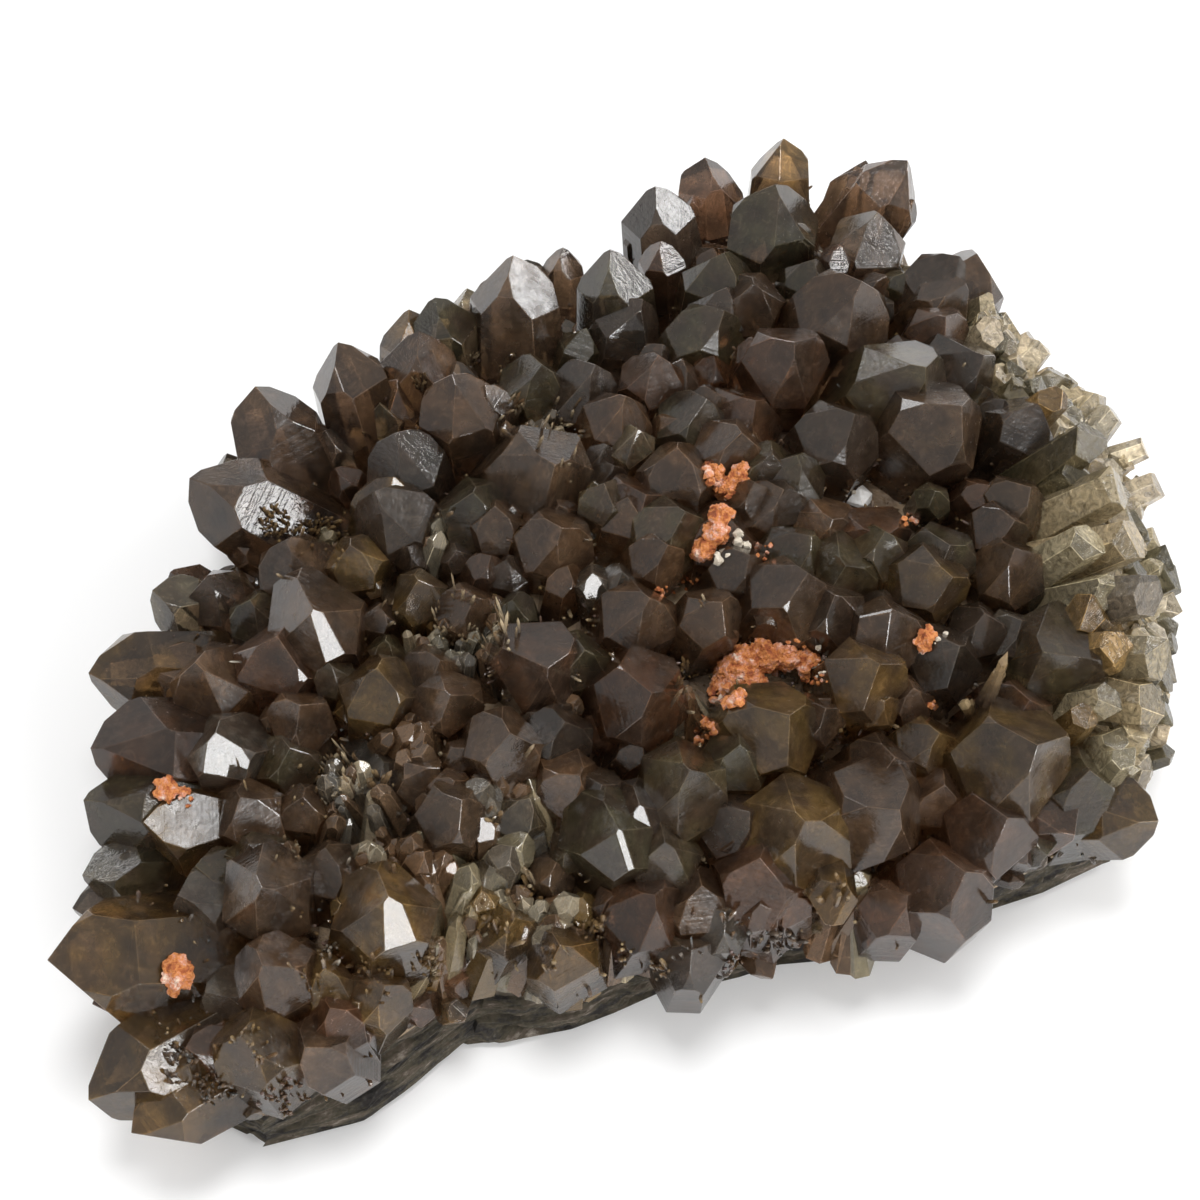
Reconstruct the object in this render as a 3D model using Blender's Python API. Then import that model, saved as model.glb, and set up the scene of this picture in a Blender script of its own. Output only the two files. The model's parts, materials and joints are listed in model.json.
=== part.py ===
"""A cluster of stubby smoky quartz points on a slab of dark foliated rock, about 19 cm across.

The slab lies flat on Z = 0 and its straight broken front faces -Y. Metres, +Z up, origin under
the middle. The points are set out from a photograph taken from the front at 58 degrees above the
table: each one is listed by the place of its tip in that picture, its width across the flats in
millimetres, the way it leans in the picture and how far it leans away from the viewer.
"""

import math
import random
from collections import namedtuple
from itertools import combinations

import bmesh
import bpy
import numpy as np
from mathutils import Matrix, Vector, noise
from mathutils.bvhtree import BVHTree

for old in list(bpy.data.objects):
    bpy.data.objects.remove(old)

MM = 0.001

# Driving dimensions, in metres
PICTURE_WIDTH = 204 * MM       # what the picture spans at the middle of the cluster
ROCK_RIM_HEIGHT = 11 * MM      # top of the rock at its edge
ROCK_MIDDLE_HEIGHT = 14 * MM
CRUST_RIM_THICKNESS = 4 * MM   # grown-together quartz under the points, at the edge
CRUST_DOME_RISE = 13 * MM      # how much higher it stands in the middle
GAP = 0.3 * MM                 # clear gap between touching pieces
SMALLEST_FUSED = 9.9 * MM
FULLER = 1.0
TAPER = 0.07                   # how fast the sides close in towards the tip
PYRAMID_SLOPE = math.radians(51.8)   # rhombohedron face from the basal plane of quartz

# The photograph's view
VIEW_ELEVATION = math.radians(58)
VIEW_DISTANCE = 500 * MM
VIEW_TARGET = Vector((-6.7 * MM, -3.95 * MM, 25 * MM))
PICTURE_PIXELS = 1200

TO_VIEWER = Vector((0.0, -math.cos(VIEW_ELEVATION), math.sin(VIEW_ELEVATION)))
VIEW_RIGHT = Vector((1.0, 0.0, 0.0))
VIEW_UP = TO_VIEWER.cross(VIEW_RIGHT)
VIEWER = VIEW_TARGET + TO_VIEWER * VIEW_DISTANCE


def sight_line(u, v):
    """The direction in which the viewer sees the pixel (u, v)."""
    across = (u / PICTURE_PIXELS - 0.5) * PICTURE_WIDTH
    up = (0.5 - v / PICTURE_PIXELS) * PICTURE_WIDTH
    return (VIEW_RIGHT * across + VIEW_UP * up - TO_VIEWER * VIEW_DISTANCE).normalized()


def on_level(u, v, height):
    """The point at this height that the pixel (u, v) shows."""
    line = sight_line(u, v)
    return VIEWER + line * ((height - VIEWER.z) / line.z)


# Outlines of the slab, as picture pixels, counterclockwise from the front left corner
Outline = namedtuple("Outline", "height pixels")

ROCK_FOOT = Outline(2 * MM, [
    (205, 1146), (250, 1150), (310, 1160), (350, 1128), (392, 1105), (430, 1056), (485, 1036),
    (535, 1044), (600, 1018), (650, 994), (705, 986), (760, 970), (800, 959), (850, 957),
    (900, 936), (960, 920), (1000, 909), (1070, 885), (1120, 858), (1146, 832), (1150, 760),
    (1158, 700), (1154, 600), (1130, 520), (1090, 450), (1010, 400), (940, 330), (860, 310),
    (760, 320), (640, 360), (520, 410), (400, 460), (320, 520), (250, 600), (210, 700),
    (200, 800), (190, 900), (180, 980), (185, 1060),
])
CRUST_RIM = Outline(13 * MM, [
    (190, 1112), (250, 1118), (310, 1120), (352, 1085), (400, 1030), (440, 985), (500, 978),
    (560, 982), (620, 965), (690, 965), (740, 955), (800, 938), (860, 925), (900, 912),
    (960, 900), (1010, 880), (1070, 850), (1110, 835), (1140, 800), (1146, 740), (1158, 690),
    (1160, 620), (1146, 540), (1116, 460), (1060, 400), (985, 330), (905, 262), (780, 268),
    (650, 310), (520, 365), (420, 405), (330, 470), (262, 560), (210, 640), (180, 720),
    (165, 800), (155, 880), (140, 960), (150, 1060),
])
SLAB_CENTRE = Vector((-3.7 * MM, -9.95 * MM, 0.0))
RING_POINTS = 52


def radii(outline):
    """The outline's distance from the slab's centre in each of RING_POINTS directions."""
    corners = [on_level(u, v, outline.height) - SLAB_CENTRE for u, v in outline.pixels]
    angles = np.array([math.atan2(corner.y, corner.x) for corner in corners])
    order = np.argsort(angles)
    reach = np.array([math.hypot(corner.x, corner.y) for corner in corners])
    rays = np.linspace(-math.pi, math.pi, RING_POINTS, endpoint=False)
    return np.interp(rays, angles[order], reach[order], period=2 * math.pi)


FOOT_RADII = radii(ROCK_FOOT)
RIM_RADII = radii(CRUST_RIM)


def share_of_rim(point):
    """0 at the slab's centre, 1 on the crust's rim."""
    offset = point - SLAB_CENTRE
    turn = (math.atan2(offset.y, offset.x) + math.pi) / (2 * math.pi) * RING_POINTS
    rim = np.interp(turn, np.arange(RING_POINTS), RIM_RADII, period=RING_POINTS)
    return math.hypot(offset.x, offset.y) / float(rim)


def rock_top(share):
    return ROCK_MIDDLE_HEIGHT + (ROCK_RIM_HEIGHT - ROCK_MIDDLE_HEIGHT) * min(share, 1.2)


def crust_top(share):
    """Height of the grown-together quartz from which the points rise."""
    rise = CRUST_DOME_RISE * (1 - share**2.4)
    return rock_top(share) + CRUST_RIM_THICKNESS + max(rise, -12 * MM)


# The points: tip_u and tip_v in the picture, width across the flats in millimetres, heading in
# degrees anticlockwise from the picture's right, lean in degrees away from the viewer
Point = namedtuple("Point", "tip_u tip_v width heading lean tint")

POINTS = [Point(*row) for row in [
    # back edge, left to right
    (189, 478, 14.0, 150, 60, "brown"), (227, 453, 6.0, 100, 60, "grey"),
    (255, 386, 13.5, 110, 60, "brown"), (290, 449, 8.5, 100, 40, "olive"),
    (338, 342, 12.0, 105, 60, "brown"), (325, 430, 7.0, 100, 45, "grey"),
    (409, 309, 9.0, 92, 64, "honey"), (452, 374, 13.0, 100, 45, "brown"),
    (467, 288, 7.0, 95, 62, "pale"), (513, 255, 13.0, 92, 60, "brown"),
    (527, 259, 6.0, 92, 54, "grey"), (563, 247, 6.5, 90, 60, "brown"),
    (610, 249, 11.0, 95, 58, "olive"), (655, 186, 11.5, 100, 52, "dark"),
    (727, 248, 7.0, 40, 45, "brown"), (705, 157, 10.0, 95, 62, "red"),
    (784, 138, 10.0, 88, 64, "honey"), (775, 184, 15.0, 90, 46, "olive"),
    (866, 160, 8.5, 75, 60, "brown"), (908, 160, 12.0, 55, 58, "brown"),
    (878, 212, 11.0, 75, 42, "grey"), (862, 281, 14.5, 60, 35, "brown"),
    (795, 342, 13.5, 70, 22, "red"), (643, 299, 10.5, 60, 48, "dark"),
    (727, 287, 9.5, 80, 45, "dark"), (682, 359, 7.0, 75, 42, "brown"),
    (966, 283, 9.5, 40, 45, "brown"), (926, 367, 15.5, 35, 25, "olive"),
    (990, 372, 7.5, 320, 45, "honey"), (985, 386, 7.0, 70, 35, "olive"),
    # upper left
    (380, 404, 7.5, 85, 35, "olive"), (397, 379, 8.5, 85, 42, "brown"),
    (389, 477, 9.5, 85, 45, "honey"), (495, 506, 8.5, 90, 35, "brown"),
    (555, 465, 15.5, 20, 15, "brown"), (562, 528, 10.5, 60, 22, "brown"),
    (475, 597, 8.5, 60, 28, "brown"), (418, 580, 8.5, 90, 28, "honey"),
    (350, 545, 9.5, 100, 32, "honey"), (285, 540, 11.0, 105, 38, "brown"),
    (203, 580, 9.0, 120, 35, "dark"), (152, 590, 8.5, 150, 52, "pale"),
    (170, 572, 7.0, 140, 50, "red"), (250, 600, 8.0, 100, 30, "olive"),
    (88, 673, 12.5, 175, 56, "honey"), (140, 660, 10.0, 150, 42, "brown"),
    (90, 748, 15.0, 172, 54, "red"), (195, 662, 12.5, 115, 32, "brown"),
    (217, 728, 12.5, 100, 32, "grey"), (277, 636, 12.5, 85, 32, "red"),
    (310, 603, 15.0, 90, 18, "brown"), (377, 668, 10.5, 90, 32, "honey"),
    (300, 705, 10.0, 80, 26, "brown"), (290, 748, 8.5, 80, 28, "olive"),
    # left edge and lower left
    (83, 800, 13.0, 165, 56, "olive"), (143, 822, 12.0, 165, 45, "honey"),
    (240, 797, 10.5, 110, 28, "brown"), (303, 797, 7.5, 80, 28, "brown"),
    (82, 875, 9.5, 175, 56, "olive"), (72, 908, 6.5, 180, 56, "grey"),
    (195, 866, 8.5, 150, 40, "olive"), (178, 895, 10.0, 150, 35, "grey"),
    (248, 841, 8.5, 110, 30, "olive"), (262, 888, 13.5, 90, 12, "brown"),
    (325, 848, 8.0, 95, 38, "brown"), (386, 890, 14.5, 80, 27, "honey"),
    (47, 960, 16.0, 178, 56, "honey"), (92, 1004, 11.5, 195, 48, "red"),
    (262, 965, 11.5, 120, 20, "brown"), (205, 992, 7.5, 150, 30, "grey"),
    (88, 1100, 13.5, 205, 55, "honey"), (131, 1133, 11.0, 210, 55, "honey"),
    (240, 1035, 11.5, 110, 26, "honey"), (185, 1048, 8.5, 160, 34, "red"),
    (330, 1008, 9.0, 100, 26, "red"), (385, 985, 9.0, 60, 30, "honey"),
    (325, 968, 8.0, 80, 30, "honey"),
    # the middle
    (626, 396, 10.0, 70, 38, "brown"), (636, 428, 7.5, 80, 35, "pale"),
    (604, 483, 8.5, 90, 38, "olive"), (628, 497, 7.5, 80, 38, "brown"),
    (677, 447, 11.0, 90, 36, "brown"), (668, 545, 8.5, 50, 28, "brown"),
    (621, 570, 6.5, 80, 35, "grey"), (592, 571, 6.5, 100, 35, "grey"),
    (650, 598, 10.5, 60, 30, "brown"), (548, 668, 13.0, 20, 10, "red"),
    (512, 600, 7.0, 100, 30, "olive"), (652, 693, 13.5, 30, 15, "red"),
    (585, 650, 9.0, 60, 25, "olive"), (565, 722, 9.5, 60, 25, "dark"),
    (510, 733, 11.5, 60, 22, "brown"), (440, 660, 8.0, 60, 25, "brown"),
    (580, 775, 10.0, 30, 22, "brown"), (602, 785, 9.0, 60, 25, "dark"),
    (462, 800, 10.5, 60, 24, "brown"), (440, 768, 8.0, 30, 40, "brown"),
    (400, 815, 9.5, 320, 36, "grey"), (615, 822, 13.5, 80, 18, "olive"),
    (638, 800, 10.5, 90, 24, "dark"), (665, 842, 11.0, 80, 22, "olive"),
    (690, 770, 13.0, 80, 22, "olive"), (740, 745, 10.0, 90, 22, "olive"),
    (655, 895, 12.0, 60, 24, "red"), (530, 798, 7.5, 60, 38, "pale"),
    (490, 866, 6.5, 80, 35, "pale"), (560, 945, 9.5, 100, 22, "honey"),
    (515, 918, 8.5, 60, 30, "honey"),
    # right of the middle
    (721, 396, 8.0, 50, 28, "brown"), (755, 400, 7.5, 50, 30, "brown"),
    (742, 431, 8.5, 85, 40, "brown"), (688, 418, 7.0, 45, 30, "brown"),
    (855, 414, 12.0, 60, 30, "dark"), (797, 455, 9.5, 85, 38, "olive"),
    (790, 487, 8.5, 70, 30, "dark"), (755, 482, 8.0, 80, 35, "brown"),
    (885, 531, 9.0, 80, 35, "olive"), (862, 508, 7.0, 50, 28, "olive"),
    (962, 406, 15.5, 45, 28, "brown"), (1040, 403, 11.0, 60, 40, "dark"),
    (1031, 487, 9.5, 55, 30, "brown"), (1015, 520, 8.5, 45, 25, "brown"),
    (950, 545, 10.0, 60, 18, "olive"), (953, 577, 12.0, 20, 24, "honey"),
    (1015, 548, 10.5, 90, 30, "brown"), (835, 595, 10.0, 90, 28, "dark"),
    (899, 612, 11.5, 75, 30, "brown"), (808, 573, 12.0, 60, 34, "brown"),
    (722, 602, 10.0, 60, 30, "brown"), (750, 555, 8.5, 60, 28, "brown"),
    (880, 664, 12.0, 60, 22, "honey"), (914, 688, 7.0, 80, 26, "brown"),
    (960, 646, 10.5, 50, 26, "dark"), (985, 613, 8.5, 80, 30, "dark"),
    (1022, 620, 8.0, 60, 30, "grey"), (1043, 652, 16.0, 150, 22, "olive"),
    (1038, 745, 17.0, 50, 18, "honey"), (940, 733, 9.0, 50, 28, "honey"),
    (895, 757, 10.0, 60, 25, "brown"), (945, 785, 8.5, 80, 25, "brown"),
    (790, 715, 13.5, 50, 22, "honey"), (826, 708, 8.5, 60, 28, "brown"),
    (805, 821, 16.0, 80, 14, "honey"), (900, 810, 15.0, 20, 20, "brown"),
    (1008, 818, 13.0, 60, 22, "red"), (1075, 835, 12.0, 330, 34, "red"),
    (1090, 770, 12.0, 70, 28, "olive"), (1159, 821, 11.5, 0, 48, "honey"),
    (966, 872, 13.5, 60, 24, "red"), (760, 858, 14.0, 100, 26, "red"),
    (750, 812, 10.0, 60, 25, "dark"), (908, 895, 9.0, 60, 28, "red"),
    (725, 912, 9.0, 70, 22, "grey"), (692, 950, 9.0, 80, 22, "dark"),
    (1030, 700, 11.0, 60, 26, "red"), (1048, 855, 10.0, 300, 30, "olive"),
]]

# Columns of quartz broken off along the right edge, without their tips
BROKEN_POINTS = [Point(*row) for row in [
    (1056, 398, 12.0, 45, 36, "honey"), (1092, 440, 15.0, 40, 40, "olive"),
    (1118, 486, 15.0, 30, 42, "pale"), (1078, 470, 11.0, 40, 34, "olive"),
    (1134, 540, 16.0, 20, 42, "pale"), (1090, 540, 14.0, 40, 34, "pale"),
    (1150, 596, 16.0, 10, 42, "grey"), (1110, 590, 13.0, 20, 34, "pale"),
    (1082, 612, 15.0, 150, 22, "honey"), (1160, 656, 16.0, 5, 42, "pale"),
    (1122, 650, 14.0, 20, 32, "honey"), (1152, 706, 15.0, 350, 42, "pale"),
    (1110, 700, 12.0, 20, 32, "pale"), (1086, 716, 10.0, 60, 26, "honey"),
    (1124, 752, 11.0, 60, 38, "pale"), (836, 905, 15.0, 280, 26, "honey"),
]]


def lean_direction(heading, lean):
    """The crystal's own axis, from the way it points in the picture."""
    heading = math.radians(heading)
    lean = math.radians(lean)
    aside = VIEW_RIGHT * math.cos(heading) + VIEW_UP * math.sin(heading)
    return (TO_VIEWER * math.cos(lean) + aside * math.sin(lean)).normalized()


Crystal = namedtuple("Crystal", "tip axis width length tint broken seed")


def tip_place(point, axis, length):
    """The tip, on its line of sight, where the foot is just inside the grown-together quartz."""
    line = sight_line(point.tip_u, point.tip_v)
    near, far = 0.35, 0.65
    for _ in range(40):
        middle = (near + far) / 2
        foot = VIEWER + line * middle - axis * length
        if foot.z > crust_top(share_of_rim(foot)) - 2 * MM:
            near = middle
        else:
            far = middle
    return VIEWER + line * far


def listed_crystals():
    crystals = []
    for seed, point in enumerate(POINTS + BROKEN_POINTS):
        width = point.width * MM * FULLER
        length = width * (1.3 if point.lean < 50 else 1.6) + 5 * MM
        axis = lean_direction(point.heading, point.lean)
        tip = tip_place(point, axis, length)
        broken = point in BROKEN_POINTS
        crystals.append(Crystal(tip, axis, width, length, point.tint, broken, seed))
    return crystals


def filler_crystals(standing, spacing, widths, seed):
    """Points between the listed ones, leaning as their neighbours do and a little lower."""
    rng = random.Random(seed)
    feet = [crystal.tip - crystal.axis * crystal.length for crystal in standing]
    middles = [crystal.tip - crystal.axis * crystal.length * 0.5 for crystal in standing]
    added = []
    across = int(110 * MM / spacing)
    for row in range(-across, across + 1):
        for column in range(-across, across + 1):
            foot = SLAB_CENTRE + Vector((
                (column + row % 2 / 2 + rng.uniform(-0.3, 0.3)) * spacing,
                (row * 0.87 + rng.uniform(-0.3, 0.3)) * spacing,
                0,
            ))
            width = rng.uniform(*widths)
            drop = rng.uniform(0.62, 0.84)
            tint = rng.choice(("brown", "red", "olive", "dark"))
            share = share_of_rim(foot)
            if share > 0.97:
                continue
            foot.z = crust_top(share) - 2 * MM
            near = sorted(range(len(standing)), key=lambda other: (feet[other] - foot).length)[:5]
            clear = min(
                min((feet[other] - foot).length, (middles[other] - foot).xy.length)
                - standing[other].width / 2
                for other in near
            )
            if clear < width * 0.28:
                continue
            axis = sum((standing[other].axis for other in near[:3]), Vector())
            axis = (axis.normalized() + Vector((rng.uniform(-0.2, 0.2), rng.uniform(-0.2, 0.2), 0))).normalized()
            length = min(standing[other].length for other in near[:3]) * drop + width * 0.3
            added.append(Crystal(foot + axis * length, axis, width, length, tint, False, 1000 + len(added)))
    return added


def crystal_corners(crystal, rng, grown=0.0):
    """Corners of a six-sided prism with a six-faced point, uneven as natural quartz is."""
    tip, axis, width, length = crystal.tip, crystal.axis, crystal.width, crystal.length
    side = axis.cross(Vector((0.3, 0.2, 1.0))).normalized()
    other = axis.cross(side)
    turn = rng.uniform(0, math.pi / 3)
    planes = [(-axis, length)]
    slope_in, slope_up = math.sin(PYRAMID_SLOPE), math.cos(PYRAMID_SLOPE)
    for face in range(6):
        angle = turn + face * math.pi / 3
        outward = side * math.cos(angle) + other * math.sin(angle)
        planes.append(((outward + axis * TAPER).normalized(), width / 2 * rng.uniform(0.86, 1.14)))
        if not crystal.broken:
            # the three larger faces meet at the tip, and the three smaller ones cut in lower down
            back = (0.0 if face % 2 == 0 else 0.16) * rng.uniform(0.3, 1.0) * width
            planes.append((outward * slope_in + axis * slope_up, back))
    if crystal.broken:
        tilt = Vector([rng.uniform(-0.45, 0.45) for _ in range(3)])
        planes.append(((axis + tilt).normalized(), 0.0))
        planes.append(((axis - tilt * 1.6).normalized(), 0.12 * width))
    normals = np.array([normal for normal, _ in planes])
    reach = np.array([distance + grown for _, distance in planes])
    triples = np.array(list(combinations(range(len(planes)), 3)))
    systems = normals[triples]
    solvable = np.abs(np.linalg.det(systems)) > 0.02
    meets = np.linalg.solve(systems[solvable], reach[triples[solvable]][..., None])[..., 0]
    inside = (meets @ normals.T <= reach + 1e-7).all(axis=1)
    return [tip + Vector(corner) for corner in meets[inside]]


def convex_mesh(name, corners):
    """A closed mesh round the corners, its flat faces whole."""
    shape = bmesh.new()
    for corner in corners:
        shape.verts.new(corner)
    bmesh.ops.remove_doubles(shape, verts=shape.verts, dist=0.02 * MM)
    hull = bmesh.ops.convex_hull(shape, input=shape.verts)
    loose = [item for item in hull["geom_interior"] if isinstance(item, bmesh.types.BMVert)]
    bmesh.ops.delete(shape, geom=loose, context="VERTS")
    bmesh.ops.dissolve_limit(shape, angle_limit=math.radians(0.5), verts=shape.verts, edges=shape.edges)
    bmesh.ops.recalc_face_normals(shape, faces=shape.faces)
    mesh = bpy.data.meshes.new(name)
    shape.to_mesh(mesh)
    shape.free()
    return mesh


def lofted(name, rings, low_middle, high_middle):
    """A closed body through rings of points, from the bottom ring up, closed at both ends."""
    shape = bmesh.new()
    loops = [[shape.verts.new(point) for point in ring] for ring in rings]
    for lower, upper in zip(loops, loops[1:]):
        for here in range(RING_POINTS):
            after = (here + 1) % RING_POINTS
            shape.faces.new((lower[here], lower[after], upper[after], upper[here]))
    for middle, loop in ((low_middle, loops[0]), (high_middle, loops[-1])):
        hub = shape.verts.new(middle)
        for here in range(RING_POINTS):
            shape.faces.new((loop[here], loop[(here + 1) % RING_POINTS], hub))
    bmesh.ops.recalc_face_normals(shape, faces=shape.faces)
    mesh = bpy.data.meshes.new(name)
    shape.to_mesh(mesh)
    shape.free()
    return mesh


def ring(radius_list, share, height, rough=0.0):
    """A ring at a share of the radii; height is a number or a function of the share of the rim."""
    points = []
    for index, radius in enumerate(radius_list):
        angle = -math.pi + index * 2 * math.pi / RING_POINTS
        reach = radius * share
        point = SLAB_CENTRE + Vector((math.cos(angle), math.sin(angle), 0)) * reach
        point.z = height(share_of_rim(point)) if callable(height) else height
        if rough:
            lump = noise.noise(point / (9 * MM)) + 0.5 * noise.noise(point / (4 * MM))
            point += Vector((math.cos(angle), math.sin(angle), 0)) * lump * rough
        points.append(point)
    return points


def new_object(name, mesh, colour, roughness, metallic=0.0):
    material = bpy.data.materials.new(name + " surface")
    material.use_nodes = True
    shader = material.node_tree.nodes["Principled BSDF"]
    shader.inputs["Base Color"].default_value = (*colour, 1.0)
    shader.inputs["Roughness"].default_value = roughness
    shader.inputs["Metallic"].default_value = metallic
    mesh.materials.clear()
    mesh.materials.append(material)
    made = bpy.data.objects.new(name, mesh)
    bpy.context.collection.objects.link(made)
    return made


def host_rock():
    """The dark foliated slab: flat below, with ledges along its broken edge."""
    mean = (FOOT_RADII + RIM_RADII) / 2
    rings = [
        ring(FOOT_RADII, 0.93, 0.0),
        ring(FOOT_RADII, 1.0, 1.6 * MM, 1.2 * MM),
        ring(FOOT_RADII, 0.985, 3.6 * MM, 1.6 * MM),
        ring(mean, 1.0, 4.4 * MM, 1.6 * MM),
        ring(mean, 0.985, 6.6 * MM, 1.6 * MM),
        ring(RIM_RADII, 1.0, 7.4 * MM, 1.2 * MM),
        ring(RIM_RADII, 0.985, 9.2 * MM, 0.8 * MM),
        ring(RIM_RADII, 0.96, rock_top),
    ]
    low = SLAB_CENTRE.copy()
    high = SLAB_CENTRE + Vector((0, 0, rock_top(0.0)))
    mesh = lofted("host_rock", rings, low, high)
    return new_object("host_rock", mesh, (0.075, 0.068, 0.06), 0.55)


def crust_slab():
    """The grown-together quartz under the points, a shallow dome."""

    def underside(share):
        return rock_top(share) + GAP

    rings = [
        ring(RIM_RADII, 0.97, underside),
        ring(RIM_RADII, 1.0, lambda share: rock_top(share) + 1.5 * MM),
        ring(RIM_RADII, 0.985, lambda share: crust_top(share) - 0.6 * MM),
        ring(RIM_RADII, 0.86, crust_top),
        ring(RIM_RADII, 0.66, crust_top),
        ring(RIM_RADII, 0.38, crust_top),
    ]
    low = SLAB_CENTRE + Vector((0, 0, underside(0.0)))
    high = SLAB_CENTRE + Vector((0, 0, crust_top(0.0)))
    return lofted("crust slab", rings, low, high)


def standing_crystals():
    standing = [crystal for crystal in listed_crystals() if crystal.width > SMALLEST_FUSED]
    return standing + filler_crystals(standing, 10.5 * MM, (9.5 * MM, 12.5 * MM), 3)


def crystal_meshes(crystals, grown=0.0):
    """Every point as a mesh of its own, ready to be joined or, a little grown, to cut with."""
    meshes = []
    for crystal in crystals:
        corners = crystal_corners(crystal, random.Random(crystal.seed), grown)
        for corner in corners:
            corner.z = max(corner.z, rock_top(share_of_rim(corner)) + 2 * GAP - grown)
        meshes.append(convex_mesh("crystal", corners))
    return meshes


def combined(base, meshes, operation):
    """The base with every mesh fused to it, or cut from it."""
    pieces = bpy.data.collections.new("crystals")
    bpy.context.scene.collection.children.link(pieces)
    for mesh in meshes:
        pieces.objects.link(bpy.data.objects.new("crystal", mesh))
    together = base.modifiers.new("together", "BOOLEAN")
    together.operation = operation
    together.solver = "EXACT"
    together.operand_type = "COLLECTION"
    together.collection = pieces
    bpy.context.view_layer.update()
    graph = bpy.context.evaluated_depsgraph_get()
    result = bpy.data.meshes.new_from_object(base.evaluated_get(graph))
    base.modifiers.remove(together)
    for piece in list(pieces.objects):
        bpy.data.objects.remove(piece)
    bpy.data.collections.remove(pieces)
    outer_skin(result)
    old = base.data
    base.data = result
    bpy.data.meshes.remove(old)


def outer_skin(mesh):
    """Keeps only the largest connected skin, so that no hollow stays sealed inside."""
    shape = bmesh.new()
    shape.from_mesh(mesh)
    unseen = set(shape.verts)
    skins = []
    while unseen:
        skin = set()
        front = [unseen.pop()]
        while front:
            vert = front.pop()
            skin.add(vert)
            for edge in vert.link_edges:
                other = edge.other_vert(vert)
                if other in unseen:
                    unseen.discard(other)
                    front.append(other)
        skins.append(skin)
    skins.sort(key=len)
    bmesh.ops.delete(shape, geom=[vert for skin in skins[:-1] for vert in skin], context="VERTS")
    shape.to_mesh(mesh)
    shape.free()


def quartz_crystals(crystals):
    made = new_object("quartz_crystals", crust_slab(), (0.16, 0.125, 0.095), 0.18)
    combined(made, crystal_meshes(crystals), "UNION")
    return made


# Rusty crusts of iron oxide and one white chip in the hollows between the points: where the
# middle of each lump shows in the picture, and its radius in millimetres
Lump = namedtuple("Lump", "u v radius")

CRUSTS = {
    "iron_oxide_middle": [Lump(*row) for row in [
        (738, 668, 4.2), (728, 690, 3.8), (750, 690, 3.6), (765, 655, 3.2), (788, 656, 3.4),
        (812, 668, 2.8), (706, 728, 3.4),
    ]],
    "iron_oxide_upper": [Lump(*row) for row in [(714, 474, 2.6), (741, 474, 2.6), (727, 488, 2.4)]],
    "iron_oxide_centre": [Lump(*row) for row in [(720, 517, 2.6), (716, 532, 2.8), (703, 550, 2.4)]],
    "iron_oxide_left": [Lump(*row) for row in [(166, 792, 2.8), (182, 796, 2.2)]],
    "iron_oxide_corner": [Lump(*row) for row in [(176, 974, 3.2)]],
    "iron_oxide_right": [Lump(*row) for row in [(924, 640, 2.6)]],
    "white_chip": [Lump(*row) for row in [(857, 498, 3.0)]],
}
RUST = (0.46, 0.13, 0.05)
CHIP_WHITE = (0.86, 0.84, 0.8)


def crust_lump(name, lumps, crystals, surface):
    """Lumps fused in a row, cut to sit against the quartz with a hair's gap."""
    meshes = []
    depths = sorted(surface.ray_cast(VIEWER, sight_line(lump.u, lump.v))[3] for lump in lumps)
    depth = depths[len(depths) // 2]
    for index, lump in enumerate(lumps):
        middle = VIEWER + sight_line(lump.u, lump.v) * depth
        shape = bmesh.new()
        bmesh.ops.create_icosphere(shape, subdivisions=1, radius=lump.radius * MM)
        for vert in shape.verts:
            knob = noise.noise(vert.co / (1.6 * MM) + Vector((index, len(name), 0)))
            vert.co *= 1 + 0.22 * knob
            vert.co += middle
        mesh = bpy.data.meshes.new(name)
        shape.to_mesh(mesh)
        shape.free()
        meshes.append(mesh)
    made = new_object(name, meshes[0], CHIP_WHITE if name == "white_chip" else RUST, 0.8)
    if meshes[1:]:
        combined(made, meshes[1:], "UNION")
    middle = sum((vert.co for vert in made.data.vertices), Vector()) / len(made.data.vertices)
    near = [crystal for crystal in crystals if (crystal.tip - middle).length < 45 * MM]
    raised_slab = crust_slab()
    raised_slab.transform(Matrix.Translation((0, 0, GAP)))
    combined(made, crystal_meshes(near, GAP) + [raised_slab], "DIFFERENCE")
    return made


host_rock()
points = standing_crystals()
quartz = quartz_crystals(points)
skin = BVHTree.FromPolygons(
    [vert.co for vert in quartz.data.vertices], [face.vertices for face in quartz.data.polygons]
)
for crust_name, crust_lumps in CRUSTS.items():
    crust_lump(crust_name, crust_lumps, points, skin)
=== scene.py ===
"""Looks of the smoky quartz cluster: crystals, druse, host rock, rusty crusts, stage and camera."""

import json
import math
import random
from collections import namedtuple
from itertools import combinations

import bmesh
import bpy
import numpy as np
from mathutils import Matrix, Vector, noise
from mathutils.bvhtree import BVHTree

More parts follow.
